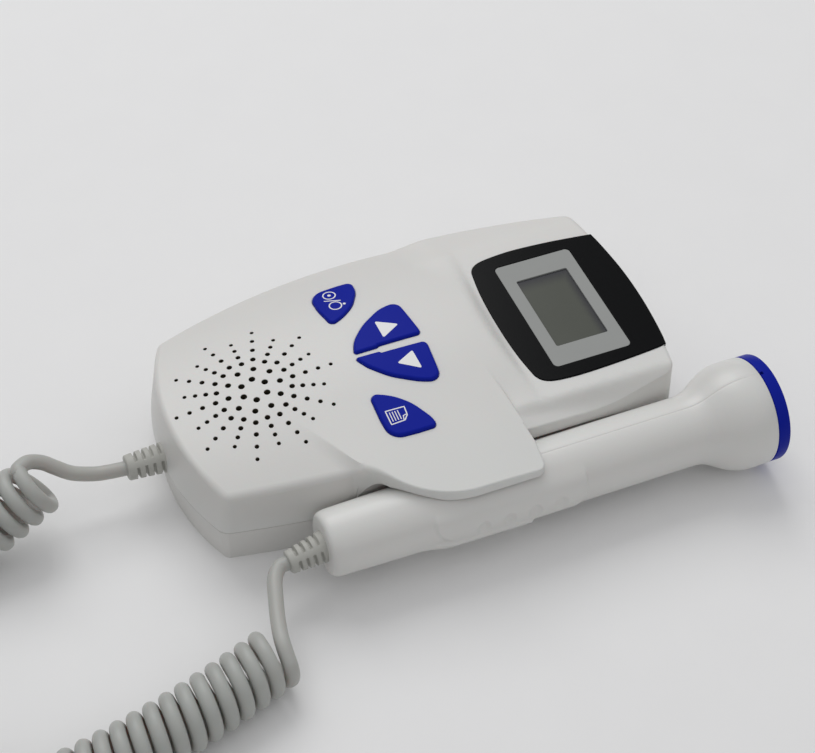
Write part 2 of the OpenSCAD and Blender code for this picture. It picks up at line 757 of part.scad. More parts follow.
module probe_hollow() {
  difference() {
    probe_turned(probe_wall);
    translate([84.2, py - 20, probe_z - 20]) cube([10, 40, 40]);
  }
  along_x(78, 86, head_r - probe_wall - 1, head_r - probe_wall - 1);
}

// raised patch on the handle: height h, angle below the near side, outline
module pad_piece(h, a, line) {
  intersection() {
    along_x(-20, 35, handle_r + h, handle_r + h);
    translate([0, py, probe_z])
      rotate([a, 0, 0])
        rotate([90, 0, 0])
          linear_extrude(14)
            polygon(rounded(line));
  }
}

// grip: a shallow pad with four dimples over a higher ridge
module grip_pad() {
  difference() {
    union() {
      pad_piece(pad_up * 0.5, -8, [[-13, -7, 5.5], [28.8, -7, 4], [29.6, 0, 8],
        [28.8, 7, 4], [-11, 7, 5.5]]);
      pad_piece(pad_up * 1.3, 34, [[-14.5, -3.6, 3], [14.2, -3.6, 2.2], [14.2, 3.6, 3],
        [-14.5, 3.6, 3]]);
    }
    along_x(-20, 35, handle_r - 0.6, handle_r - 0.6);
    for (i = [0 : 3])
      translate([7.35 * i - 0.45, py, probe_z])
        rotate([1, 0, 0])
          translate([0, -handle_r - pad_up * 0.5 - 4.72 + 0.03 * i, 0])
            sphere(r = 5 + 0.1 * i);
  }
}

module probe_shell_near() {
  color("#e8e8e4") {
    difference() {
      intersection() {
        probe_turned(0);
        half_space(-1);
      }
      probe_hollow();
      translate([-45, -43.7, 15.2]) rotate([0, 90, 0]) cylinder(h = 6, r = 3.2);
    }
    grip_pad();
  }
}
module probe_shell_far() {
  color("#e8e8e4")
  difference() {
    intersection() {
      probe_turned(0);
      half_space(1);
    }
    probe_hollow();
    translate([-45, -43.7, 15.2]) rotate([0, 90, 0]) cylinder(h = 6, r = 3.2);
  }
}
module probe_ring() {
  color("#121c8c")
  difference() {
    along_x(84.4, 88, head_r - 0.2, head_r - 0.2);
    along_x(84, 89, head_r - 2.4, head_r - 2.4);
    translate([84, py - 0.4, probe_z + head_r - 0.9]) cube([1, 0.8, 2]);
  }
}
module probe_face() {
  color("#d9dad4")
  intersection() {
    along_x(85, 89.5, head_r - 2.5, head_r - 2.5);
    translate([88.6 - 90, py, probe_z]) sphere(r = 90, $fn = 180);
  }
}
module piezo_disc() {
  color("#c8b48a") along_x(83.6, 85, 11, 11);
}
module probe_backing() {
  color("#4a4d50") along_x(79, 83.6, 11, 11);
}
module probe_board() {
  color("#1f5a3a") translate([18, py - 6, probe_z - 0.8]) cube([46, 12, 1.6]);
}

upper_housing();
lower_housing();
display_window();
window_gasket();
lcd_bezel();
lcd_glass();
lcd_backlight();
button_power();
button_up();
button_down();
button_record();
keypad_mat();
main_board();
speaker_frame();
speaker_cone();
speaker_magnet();
speaker_gasket();
battery_door();
battery_left();
battery_right();
battery_contacts();
battery_springs();
housing_screws();
rubber_feet();
earphone_jack();
strain_relief_body();
cord_lead_body();
cord_coil();
cord_lead_probe();
strain_relief_probe();
probe_shell_near();
probe_shell_far();
probe_ring();
probe_face();
piezo_disc();
probe_backing();
probe_board();
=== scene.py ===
"""Looks of a pocket fetal heart monitor with its docked probe and curly cord.

Numbers are millimetres times MM, in the frame of the CAD model: X along the case toward the
display, Y to the far side, Z up, origin in the middle of the flat underside.
"""
import math

import bpy
import numpy as np
from mathutils import Matrix, Vector
from mathutils.geometry import delaunay_2d_cdt


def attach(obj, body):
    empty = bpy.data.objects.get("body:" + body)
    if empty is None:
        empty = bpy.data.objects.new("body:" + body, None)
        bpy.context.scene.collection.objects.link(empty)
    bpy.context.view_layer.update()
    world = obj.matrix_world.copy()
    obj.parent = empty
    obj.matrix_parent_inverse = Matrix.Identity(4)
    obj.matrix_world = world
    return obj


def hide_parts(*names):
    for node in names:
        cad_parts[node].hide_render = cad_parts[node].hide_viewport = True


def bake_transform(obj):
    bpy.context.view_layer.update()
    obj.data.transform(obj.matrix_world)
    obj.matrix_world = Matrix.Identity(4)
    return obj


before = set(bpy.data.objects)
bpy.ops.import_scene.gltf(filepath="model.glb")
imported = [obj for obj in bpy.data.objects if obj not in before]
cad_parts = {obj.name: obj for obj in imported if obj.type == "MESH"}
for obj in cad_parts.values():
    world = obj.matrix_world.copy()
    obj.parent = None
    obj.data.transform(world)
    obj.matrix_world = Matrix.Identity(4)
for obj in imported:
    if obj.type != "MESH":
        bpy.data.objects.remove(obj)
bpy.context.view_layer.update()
MM = 0.001

# ---------------------------------------------------------------- camera, light and table
# A single camera looks down on the case from the near speaker corner. The light is that of a
# light tent: a pale dome, bright overhead and dark near the table, and one weak soft light behind
# the case. Shadows fall toward the viewer on a pale paper sheet.

FOCAL_PX, PICTURE_PX, SENSOR_MM = 1954.0, 815.0, 36.0
camera = bpy.data.objects.new("camera", bpy.data.cameras.new("camera"))
bpy.context.scene.collection.objects.link(camera)
camera.data.sensor_width = SENSOR_MM
camera.data.lens = FOCAL_PX / PICTURE_PX * SENSOR_MM
camera.data.clip_start = 0.02
camera.data.clip_end = 20.0
camera_right = Vector((0.91998, -0.39042, 0.03456))
camera_down = Vector((-0.27111, -0.69755, -0.66326))
camera_ahead = Vector((0.28306, 0.60082, -0.74758))
turn = Matrix((camera_right, -camera_down, -camera_ahead)).transposed()
camera.matrix_world = Matrix.Translation((-0.1515, -0.3225, 0.41905)) @ turn.to_4x4()
bpy.context.scene.camera = camera
bpy.context.scene.view_settings.view_transform = "Standard"


def linear(code):
    """Linear colour of an sRGB hex code: each channel c becomes c/12.92 below 0.04045, and
    ((c + 0.055) / 1.055) to the power 2.4 above it."""
    parts = [int(code[i:i + 2], 16) / 255 for i in (1, 3, 5)]
    return [c / 12.92 if c < 0.04045 else ((c + 0.055) / 1.055) ** 2.4 for c in parts] + [1.0]


def material(name, **values):
    """A node material whose surface has the given values on its sockets, by their names with _
    for the spaces. Returns the material and its surface shader."""
    made = bpy.data.materials.new(name)
    made.use_nodes = True
    shader = made.node_tree.nodes["Principled BSDF"]
    for key, value in values.items():
        shader.inputs[key.replace("_", " ")].default_value = value
    return made, shader


def add(mat, kind, settings=(), **inputs):
    """A node in a material. settings are its own properties, inputs its sockets by name: a number,
    a colour or another node's output."""
    made = mat.node_tree.nodes.new(kind)
    for key, value in dict(settings).items():
        setattr(made, key, value)
    for key, value in inputs.items():
        socket = made.inputs[int(key[1:]) if key[1:].isdigit() else key.replace("_", " ")]
        if isinstance(value, bpy.types.NodeSocket):
            mat.node_tree.links.new(value, socket)
        else:
            socket.default_value = value
    return made


def grain(mat, shader, light, dark, spread=900.0, bump=0.04, rough=(0.34, 0.46)):
    """Fine moulded skin in object coordinates: a noise sways the colour between two sRGB codes
    and the roughness between two values, and a finer noise lifts the surface a little."""
    place = add(mat, "ShaderNodeTexCoord")
    broad = add(mat, "ShaderNodeTexNoise", Vector=place.outputs["Object"], Scale=55.0, Detail=3.0)
    fine = add(mat, "ShaderNodeTexNoise", Vector=place.outputs["Object"], Scale=spread, Detail=2.0)
    tint = add(mat, "ShaderNodeMixRGB", Fac=broad.outputs["Fac"], Color1=linear(dark),
               Color2=linear(light))
    sheen = add(mat, "ShaderNodeMapRange", Value=fine.outputs["Fac"], To_Min=rough[0],
                To_Max=rough[1])
    lift = add(mat, "ShaderNodeBump", Height=fine.outputs["Fac"], Strength=bump, Distance=0.0002)
    mat.node_tree.links.new(tint.outputs["Color"], shader.inputs["Base Color"])
    mat.node_tree.links.new(sheen.outputs["Result"], shader.inputs["Roughness"])
    mat.node_tree.links.new(lift.outputs["Normal"], shader.inputs["Normal"])
    return mat


key_data = bpy.data.lights.new("key_light", "AREA")
key_data.shape = "SQUARE"
key_data.size = 1.0
key_data.energy = 7.5
key_light = bpy.data.objects.new("key_light", key_data)
key_light.location = (0.05, 0.95, 1.2)
key_light.rotation_euler = (-key_light.location).to_track_quat("-Z", "Y").to_euler()
bpy.context.scene.collection.objects.link(key_light)

world = bpy.data.worlds.new("world")
world.use_nodes = True
sky = world.node_tree.nodes["Background"]
sky.inputs["Color"].default_value = linear("#ececed")
sky_place = add(world, "ShaderNodeTexCoord")
sky_split = add(world, "ShaderNodeSeparateXYZ", Vector=sky_place.outputs["Generated"])
sky_level = add(world, "ShaderNodeMapRange", {"interpolation_type": "SMOOTHSTEP"},
                Value=sky_split.outputs["Z"], From_Min=0.05, From_Max=0.6, To_Min=0.08, To_Max=0.74)
world.node_tree.links.new(sky_level.outputs["Result"], sky.inputs["Strength"])
bpy.context.scene.world = world

table_mesh = bpy.data.meshes.new("table_sheet")
table_mesh.from_pydata([(-4, -4, 0), (4, -4, 0), (4, 4, 0), (-4, 4, 0)], [], [(0, 1, 2, 3)])
table = bpy.data.objects.new("table_sheet", table_mesh)
bpy.context.scene.collection.objects.link(table)
paper, paper_shader = material("table_paper")
grain(paper, paper_shader, "#f4f4f4", "#f1f1f1", 400.0, 0.02, (0.7, 0.8))
table_mesh.materials.append(paper)

# ---------------------------------------------------------------- curly cord
# A soft vinyl cord, 4 mm thick and grey. Straight leads leave the probe and the speaker end of
# the case, and between them the cord is wound into one coil that lies on the table in a wide bend.


def piece(name, points, faces, body, mats, smooth=True, sharp=None, second=()):
    """A mesh piece from points in metres and faces, riding on a body. mats is its material, or a
    pair of which the later one goes on the faces numbered in second. Edges that turn by more than
    sharp degrees stay crisp."""
    mesh = bpy.data.meshes.new(name)
    mesh.from_pydata([tuple(p) for p in np.asarray(points, float)], [],
                     [tuple(int(i) for i in f) for f in faces])
    for mat in mats if isinstance(mats, tuple) else (mats,):
        mesh.materials.append(mat)
    for i in second:
        mesh.polygons[i].material_index = 1
    mesh.update()
    if smooth:
        mesh.polygons.foreach_set("use_smooth", [True] * len(mesh.polygons))
        if sharp:
            mesh.set_sharp_from_angle(angle=math.radians(sharp))
    made = bpy.data.objects.new(name, mesh)
    bpy.context.scene.collection.objects.link(made)
    if body:
        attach(made, body)
    return made


def grid_faces(rows, columns, closed_columns=True, closed_rows=False):
    """Quads over rows of points, where each row has the same number of columns."""
    faces = []
    for i in range(rows if closed_rows else rows - 1):
        for j in range(columns if closed_columns else columns - 1):
            a, b = i * columns + j, i * columns + (j + 1) % columns
            c, d = (i + 1) % rows * columns + (j + 1) % columns, (i + 1) % rows * columns + j
            faces.append((a, b, c, d))
    return faces


def unit(v):
    """The vectors in an array, each divided by its length."""
    v = np.asarray(v, float)
    return v / np.linalg.norm(v, axis=-1, keepdims=True)


def smoothstep(t):
    """3 t squared less 2 t cubed, with t held between 0 and 1."""
    t = np.clip(t, 0, 1)
    return t * t * (3 - 2 * t)


def tube(path, radius, sides):
    """Points and faces of a round tube along a path. Each ring's frame is the one before it,
    turned as little as the path turns, and each end is closed with a fan."""
    path = np.asarray(path, float)
    heading = unit(np.gradient(path, axis=0))
    side = unit(np.cross(heading[0], [0.3, 0.2, 1.0]))
    rings = []
    for p, t in zip(path, heading):
        side = unit(side - t * np.dot(side, t))
        other = np.cross(t, side)
        angle = np.arange(sides) * 2 * np.pi / sides
        rings.append(p + radius * (np.cos(angle)[:, None] * side + np.sin(angle)[:, None] * other))
    points = np.vstack(rings + [path[:1], path[-1:]])
    first, last = len(points) - 2, len(points) - 1
    faces = grid_faces(len(path), sides)
    top = (len(path) - 1) * sides
    for j in range(sides):
        faces.append((first, (j + 1) % sides, j))
        faces.append((last, top + j, top + (j + 1) % sides))
    return points, faces


def spline(points, steps):
    """A Catmull-Rom curve through the points: each span is the cubic whose end slopes are half of
    the step from the point before to the point after."""
    p = np.asarray(points, float)
    p = np.vstack([2 * p[0] - p[1], p, 2 * p[-1] - p[-2]])
    out = []
    for a, b, c, d in zip(p[:-3], p[1:-2], p[2:-1], p[3:]):
        for t in np.arange(steps) / steps:
            out.append(0.5 * (2 * b + (c - a) * t + (2 * a - 5 * b + 4 * c - d) * t * t
                              + (3 * b - a - 3 * c + d) * t ** 3))
    return np.array(out + [p[-2]])


# the coil's middle line: a nearly straight leg, the wide bend, and a leg whose end rises to the
# case, as lengths in mm and clockwise turns in degrees, then its start, heading and height
leg1_l, leg1_turn, bend_l, bend_turn, leg2_l, rise_l = 57.0, 11.8, 115.9, 174.7, 30.2, 18.0
coil_from, coil_head, coil_z, coil_r, curls = np.array((-61.9, -66.3)), 201.5, 8.7, 6.6, 37.917
coil_l = leg1_l + bend_l + leg2_l
# length of coil that one curl takes in the first leg, the last leg and its rise
pitch1, pitch3, pitch4 = 4.66, 5.3, 4.6
cord_r, cord_sides = 2.0, 16


def arc_xy(p, h, l, k):
    """The point a length l along an arc that starts at p heading h and turns k degrees clockwise
    per millimetre: the centre is 180 / (pi k) to the right."""
    if abs(k) < 1e-4:
        return p + l * np.array((math.cos(math.radians(h)), math.sin(math.radians(h))))
    r, g = 180 / (math.pi * k), math.radians(h - k * l)
    h = math.radians(h)
    return p + r * np.array((math.sin(h), -math.cos(h))) - r * np.array((math.sin(g), -math.cos(g)))


def coil_point(s):
    """The cord's middle a length s along the coil's middle line: that line, plus the coil radius
    times a tilted ring's up and side directions at the angle that the turns so far give. Over
    its last part the ring leans by up to 36 degrees and the line climbs at 0.38."""
    k1, k2 = leg1_turn / leg1_l, bend_turn / bend_l
    p1, h1 = arc_xy(coil_from, coil_head, leg1_l, k1), coil_head - leg1_turn
    p2, h2 = arc_xy(p1, h1, bend_l, k2), h1 - bend_turn
    if s < leg1_l:
        c, h = arc_xy(coil_from, coil_head, s, k1), coil_head - k1 * s
    elif s < leg1_l + bend_l:
        c, h = arc_xy(p1, h1, s - leg1_l, k2), h1 - k2 * (s - leg1_l)
    else:
        c, h = arc_xy(p2, h2, s - leg1_l - bend_l, 0), h2
    u = s - coil_l + 34
    t = min(max(u / rise_l, 0), 1)
    z = coil_z + 0.38 * (rise_l * (t ** 3 - t ** 4 / 2) + max(u - rise_l, 0))
    n1, n3, n4 = leg1_l / pitch1, (leg2_l - rise_l) / pitch3, rise_l / pitch4
    done = (min(s, leg1_l) / pitch1 + min(max((s - leg1_l) / bend_l, 0), 1) * (curls - n1 - n3 - n4)
            + min(max((s - leg1_l - bend_l) / (leg2_l - rise_l), 0), 1) * n3
            + max(s - coil_l + rise_l, 0) / pitch4)
    w = float(smoothstep((s - coil_l + 90) / 78))
    lean, h, f = (math.radians(a) for a in (-7 + 43 * w, h - 9 + 5 * w, 360 * done - 320))
    up = np.array((-math.sin(lean) * math.cos(h), -math.sin(lean) * math.sin(h), math.cos(lean)))
    side = np.array((-math.sin(h), math.cos(h), 0))
    return np.array((c[0], c[1], z)) + coil_r * (math.cos(f) * up + math.sin(f) * side)


coil_path = [coil_point(s) for s in np.linspace(0.3, coil_l, 1001)]
coil_end_slope = unit(coil_path[-1] - coil_path[-2])
guard_along = np.array((-0.9917, -0.0798, -0.1011))
guard_end = np.array((-41.5, -43.7, 15.2)) + 10.02 * guard_along
lead_probe = spline([guard_end - 1.2 * guard_along, guard_end, guard_end + 2.2 * guard_along,
                     (-55.4, -46.4, 13.8), (-56.7, -49, 13.75), (-57.9, -52.9, 13.7),
                     (-59.4, -58, 13.7), (-60.7, -63.5, 13.9), (-61.3, -67.8, 13.9),
                     coil_path[0]], 8)
lead_body = spline([coil_path[-1], coil_path[-1] + 1.5 * coil_end_slope, (-104.8, 4.5, 22.5),
                    (-101.2, 4.8, 20.5), (-98.1, 3.8, 18.2), (-94.2, 2.5, 15.6),
                    (-88.8, 1.8, 13.6), (-84.8, 1.3, 13.2), (-80.1, 0.8, 13.2),
                    (-78.6, 0.8, 13.2)], 8)
cord_path = np.vstack([lead_probe[:-1], coil_path, lead_body[1:]])
vinyl, vinyl_shader = material("cord_vinyl", Specular_IOR_Level=0.45, Subsurface_Weight=0.05)
grain(vinyl, vinyl_shader, "#b7b8b4", "#aeafab", 1200.0, 0.05, (0.36, 0.5))
points, faces = tube(cord_path, cord_r, cord_sides)
cord = piece("curly_cord", points * MM, faces, None, vinyl)
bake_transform(cord)
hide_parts("cord_coil", "cord_lead_body", "cord_lead_probe")

# ---------------------------------------------------------------- upper shell
# The upper shell is moulded white ABS with a fine satin skin. Its top is crowned, with a wing
# that reaches over the docked probe, a drilled speaker grille, four key openings and a shallow
# dish round the display. It closes on the lower shell along a narrow groove, held by screws.

# the four arcs of the case's plan, speaker end, far side, display end and near side, as centre x,
# y, radius and draft in 12 mm of height, and the order round the case with each corner's place
circles = np.array([(-8, 0, 62.3, 1.5), (8, -174, 216, 0.8), (-73, 0, 142.5, 0.4),
                    (11.5, 337, 373.4, 1.2)])
around = [(3, (62.5, -28.9)), (2, (62.0, 31.0)), (1, (-59.7, 26.9)), (0, (-60.5, -25.3))]
SIDE_STEPS = {3: 110, 2: 56, 1: 110, 0: 52}
CORNER_STEPS = 12


def case_outline(rise):
    """Points of the case's plan outline at a height above the groove. Each of the four circles is
    smaller by its draft times rise / 12 mm. The corners are arcs of 4 mm less rise / 24, tangent
    to both neighbours, whose centres are found by Newton's steps."""
    radius = circles[:, 2] - circles[:, 3] * rise / 12
    corner = 4.0 - rise / 24
    centres = []
    for i, (a, guess) in enumerate(around):
        b = around[(i + 1) % 4][0]
        c = np.array(guess, float)
        for _ in range(8):
            away = np.array([c - circles[a, :2], c - circles[b, :2]])
            gap = np.linalg.norm(away, axis=1)
            miss = gap - (radius[[a, b]] - corner)
            c = c - np.linalg.solve(away / gap[:, None], miss)
        centres.append(c)
    points = []
    for i, (a, _) in enumerate(around):
        start, end = centres[i - 1] - circles[a, :2], centres[i] - circles[a, :2]
        a0, a1 = math.atan2(start[1], start[0]), math.atan2(end[1], end[0])
        a1 += 2 * math.pi if a1 < a0 else 0
        for t in np.linspace(a0, a1, SIDE_STEPS[a], endpoint=False):
            points.append(circles[a, :2] + radius[a] * np.array((math.cos(t), math.sin(t))))
        after = centres[i] - circles[around[(i + 1) % 4][0], :2]
        a2 = math.atan2(after[1], after[0])
        a2 += 2 * math.pi if a2 < a1 - math.pi else 0
        a2 -= 2 * math.pi if a2 > a1 + math.pi else 0
        for t in np.linspace(a1, a2, CORNER_STEPS, endpoint=False):
            points.append(centres[i] + corner * np.array((math.cos(t), math.sin(t))))
    return np.array(points)


def resample(line, spacing):
    """A closed outline with points added so that no gap is wider than spacing."""
    out = []
    for a, b in zip(line, np.roll(line, -1, 0)):
        n = max(1, int(math.ceil(np.linalg.norm(b - a) / spacing)))
        if np.linalg.norm(b - a) > 1e-6:
            out += [a + (b - a) * k / n for k in range(n)]
    return np.array(out)


def rounded(corners, steps=10, spacing=1.2):
    """A closed anticlockwise outline from corners (x, y, radius): an arc tangent to both edges at
    each corner, and points at most spacing apart along the straight edges."""
    out = []
    corners = np.asarray(corners, float)
    for before, here, after in zip(np.roll(corners, 1, 0), corners, np.roll(corners, -1, 0)):
        p, r = here[:2], here[2]
        u, w = unit(before[:2] - p), unit(after[:2] - p)
        half = math.acos(np.clip(u @ w, -1, 1)) / 2
        if r <= 0:
            out.append(p)
            continue
        c = p + unit(u + w) * r / math.sin(half)
        s, e = p + u * r / math.tan(half) - c, p + w * r / math.tan(half) - c
        a0, a1 = math.atan2(s[1], s[0]), math.atan2(e[1], e[0])
        d = (a1 - a0 + math.pi) % (2 * math.pi) - math.pi
        n = max(3, int(steps * abs(d) / (math.pi / 2)), int(abs(d) * r / spacing))
        out += [c + r * np.array((math.cos(a0 + d * k / n), math.sin(a0 + d * k / n)))
                for k in range(n + 1)]
    line = resample(np.array(out), spacing)
    area = np.sum(line[:, 0] * np.roll(line[:, 1], -1) - np.roll(line[:, 0], -1) * line[:, 1])
    return line if area > 0 else line[::-1]


def outward(line):
    """Outward normals of a closed outline that runs anticlockwise."""
    ahead = unit(np.roll(line, -1, 0) - line)
    behind = unit(line - np.roll(line, 1, 0))
    t = unit(ahead + behind)
    return np.stack([t[:, 1], -t[:, 0]], 1)


def inside(points, line):
    """Which points lie inside a closed outline, by counting the edges to one side of each."""
    x, y = points[:, 0][:, None], points[:, 1][:, None]
    a, b = line, np.roll(line, -1, 0)
    crosses = (a[:, 1] > y) != (b[:, 1] > y)
    with np.errstate(divide="ignore", invalid="ignore"):
        at = a[:, 0] + (y - a[:, 1]) * (b[:, 0] - a[:, 0]) / (b[:, 1] - a[:, 1])
    return (crosses & (x < at)).sum(1) % 2 == 1


def distance(points, line):
    """Shortest distance from each point to a closed outline."""
    a, b = line, np.roll(line, -1, 0)
    d = b - a
    best = np.full(len(points), 1e9)
    for k in range(0, len(points), 400):
        p = points[k:k + 400, None]
        t = np.clip(((p - a) * d).sum(2) / (d * d).sum(1), 0, 1)
        best[k:k + 400] = np.linalg.norm(p - a - t[..., None] * d, axis=2).min(1)
    return best


def sheet(outer, holes=(), chains=(), spacing=2.0, clear=0.45):
    """Plan triangles over the area within outer and outside the holes, with points on a staggered
    grid and edges along every outline and open chain. Returns the plan points and triangles."""
    verts, edges = [], []
    for line, closed in [(outer, 1), *[(h, 1) for h in holes], *[(c, 0) for c in chains]]:
        n = len(verts)
        verts += [tuple(p) for p in line]
        edges += [(n + i, n + i + 1) for i in range(len(line) - 1)]
        edges += [(n + len(line) - 1, n)] if closed else []
    lo, hi = outer.min(0), outer.max(0)
    grid = np.array([(x + (spacing / 2 if j % 2 else 0), y)
                     for j, y in enumerate(np.arange(lo[1], hi[1], spacing * 0.87))
                     for x in np.arange(lo[0], hi[0], spacing)])
    fixed = np.array(verts)
    near = np.array([np.min(((fixed - g) ** 2).sum(1)) for g in grid]) < (spacing * clear) ** 2
    grid = grid[~near & inside(grid, outer)]
    for hole in holes:
        grid = grid[~inside(grid, hole)]
    verts += [tuple(p) for p in grid]
    found = delaunay_2d_cdt([Vector(v) for v in verts], edges, [], 0, 1e-5)
    plan, tris = np.array([tuple(v) for v in found[0]]), np.array([tuple(f) for f in found[2]])
    middle = plan[tris].mean(1)
    ok = inside(middle, outer)
    for hole in holes:
        ok &= ~inside(middle, hole)
    tris = tris[ok]
    a, b, c = (plan[tris[:, i]] for i in range(3))
    flip = (b[:, 0] - a[:, 0]) * (c[:, 1] - a[:, 1]) - (b[:, 1] - a[:, 1]) * (c[:, 0] - a[:, 0]) < 0
    tris[flip] = tris[flip][:, ::-1]
    return plan, tris


def runs(line, ok, gap=3.0):
    """The kept points of a line as open chains, split wherever the line jumps by more than gap."""
    first = int(np.argmax(ok & ~np.roll(ok, 1)))
    kept = np.roll(line, -first, 0)[np.roll(ok, -first)]
    cuts = np.flatnonzero(np.linalg.norm(np.diff(kept, axis=0), axis=1) > gap) + 1
    return [part for part in np.split(kept, cuts) if len(part) > 1]


def circle(x, y, r, n):
    """A closed ring of n points: the centre plus r times (cos a, sin a)."""
    a = np.arange(n) * 2 * np.pi / n
    return np.stack([x + r * np.cos(a), y + r * np.sin(a)], 1)


# heights of the crown, the display's rim, the wing's lip and the groove, and the probe's axis
CASE_H, RIM_Z, LIP_Z, PART_Z = 32.4, 28.3, 24.4, 12.6
PROBE_Y, PROBE_Z = -43.5, 15.4
# crest of the wing seen from above, and the wing's outer edge with its fillet into the case side
crest = rounded([(-38.5, -11.9, 0), (-27.3, -31.5, 25), (-12, -49.6, 25), (18.3, -49.6, 2.5),
                 (19.2, -40.7, 0), (17.6, -23.8, 8), (15.9, -11.9, 0)], spacing=1.0)
wing_edge = rounded([(-44, -30.5, 0), (-25.7, -33.2, 15), (-12, -49.6, 25), (18.3, -49.6, 2.5),
                     (19.2, -40.7, 0), (17.6, -23.8, 8), (12, -8, 0), (-42, -8, 0)], spacing=0.8)


def soft_max(a, b, r):
    """The greater of two heights, with the crease between them filled by a curve about r wide."""
    h = np.clip(0.5 + 0.5 * (a - b) / r, 0, 1)
    return b + (a - b) * h + r * h * (1 - h)


def crown(x, y):
    """Height of the crown: a line curved to 420 mm along the case, turned about an axis 108 mm
    below the top."""
    r = 108 + np.sqrt(420.0 ** 2 - (x + 8) ** 2) - 420
    return CASE_H - 108 + np.sqrt(np.maximum(r ** 2 - y ** 2, 1))


def top_height(x, y):
    """Height of the upper shell's top over a plan point. The wing's flat slope stands above the
    crown inside its crest, and outside it falls to the crown as (1 - d / w) squared, where d is
    the distance to the crest. At the display end a flat rim rises out of the crown, and the crown
    dips to it within the rim's own crease. Beyond 29.5 mm from the middle the rim falls at 0.2 on
    the far side, and on the near side at 1.3, easing to 0.95 toward the display end."""
    p = np.stack([x, y], 1)
    z = crown(x, y)
    past = np.abs(y) - 29.5
    past = np.where(past > -1.2, np.where(past < 1.2, (past + 1.2) ** 2 / 4.8, past), 0)
    side = RIM_Z - past * np.where(y > 0, 0.2, 1.3 - 0.35 * smoothstep((x - 24) / 38))
    shelf = side - 2.4 * (1 - smoothstep((x - 9) / 14))
    z = np.where(x > 9, soft_max(z, shelf, 1.6 * smoothstep((x - 9) / 8) + 0.01), z)
    low = -soft_max(-z, -np.maximum(soft_max(RIM_Z + (26.1 - x) * 0.8, RIM_Z, 0.6), side), 0.7)
    z = np.where(x > 19.5, low, z)
    wing = CASE_H - 0.66 + (y + 11.9) * 0.11 - (x + 8) ** 2 / 840
    out = np.where(inside(p, crest), 0, distance(p, crest))
    wide = np.where(x > 10, 1.0, 3.6)
    fall = (1 - np.clip(out / wide, 0, 1)) ** 2
    return z + np.where(y < -11.9, np.maximum(wing - z, 0) * fall, 0)


def cradle_y(y, z):
    """The near side of the case kept clear of the docked probe: y is held outside a circle of
    10.3 mm about the probe's axis."""
    clear = PROBE_Y + np.sqrt(np.maximum(10.3 ** 2 - (z - PROBE_Z) ** 2, 0))
    return np.where((np.abs(z - PROBE_Z) < 10.3) & (y < -20), np.maximum(y, clear), y)


def under_height(x, y):
    """Height of the wing's underside: a flat lip scooped out round the probe, which sinks along
    the fillet toward the speaker end."""
    scoop = PROBE_Z + np.sqrt(np.maximum(10.05 ** 2 - (y - PROBE_Y) ** 2, 0))
    return np.maximum(scoop, LIP_Z - 11.8 * (1 - smoothstep((x + 33) / 11)))


# grille holes lie on rings 3.6 mm apart round one hole-free middle, in ten long rays, ten short
# rays between them and six holes on the first ring, and they shrink outward
GRILLE_X, RING = -43.9, 3.6
BORE_SIDES = 14
grille = []
for k in range(10):
    for j in range(2, 7):
        a, d, w = math.radians(36 * k), j * RING, 2.0 - 0.7 * (j - 1) / 5
        grille.append((GRILLE_X + d * math.cos(a), d * math.sin(a), w / 2))
    for j in range(4):
        a, d, w = math.radians(36 * k + 18), (2.77 + 0.78 * j) * RING, 2.0 - 0.7 * (j + 2) / 5
        grille.append((GRILLE_X + d * math.cos(a), d * math.sin(a), w / 2))
for k in range(6):
    a = math.radians(60 * k + 20)
    grille.append((GRILLE_X + RING * math.cos(a), RING * math.sin(a), 1.0))

# corners of the keys' plans as x, y and corner radius
key_plans = {
    "power": [(-16.8, 13.2, 1.4), (-18, 20.5, 16), (-17.9, 28.3, 4.6), (-9.5, 29.1, 20),
              (-4.7, 29.1, 1.8), (-5.2, 24.2, 9), (-8.6, 18.4, 12), (-12.6, 15.2, 14)],
    "up": [(-15.4, 0.5, 0.7), (-13.9, 4.9, 12), (-9.2, 9.9, 20), (-2.6, 14.3, 10),
           (3.1, 15.3, 2.6), (4.6, 1.15, 1.3), (-8.3, 1.0, 0.2), (-8.8, 0.55, 0.2)],
    "down": [(-15.9, -0.95, 0.6), (-8.9, -1.1, 0.2), (-8.4, -1.65, 0.2), (4.6, -1.75, 1.5),
             (3.5, -15.5, 2.8), (-2.2, -13.9, 18), (-9.3, -9.7, 18), (-13.7, -5, 10)],
    "record": [(-16.9, -13.2, 1.6), (-11, -15.9, 16), (-7, -19.9, 14), (-3.9, -25.6, 8),
               (-3.4, -28.7, 1.4), (-9, -28.75, 0), (-16.6, -28.4, 4.2), (-17.05, -22, 0)]}
key_plans = {n: rounded(c, 10, 0.6) for n, c in key_plans.items()}
# the lens runs round three sides inside the rim, and its fourth side follows the display end
lens_left = spline([(66.9, 22.8), (63.5, 23.25), (53.5, 24.35), (43.2, 24.9), (36.8, 24.6),
                    (32.3, 23.95), (29.8, 22.8), (28.5, 21.1), (28.0, 18.8), (27.2, 13.0),
                    (26.75, 6.0), (26.65, 0.0), (26.75, -6.0), (27.2, -13.0), (28.0, -18.8),
                    (28.5, -21.1), (29.8, -22.9), (32.3, -24.0), (36.8, -24.5), (43.2, -24.6),
                    (53.5, -24.2), (63.5, -23.5), (67.1, -22.9)], 5)
lens_right = spline([(67.1, -22.9), (67.7, -19.5), (68.4, -13.0), (68.85, -6.5), (69.0, 0.0),
                     (68.85, 6.5), (68.3, 13.0), (67.5, 19.5), (66.9, 22.8)], 5)
window_plan = resample(np.vstack([lens_left[:-1], lens_right[:-1]]), 0.9)

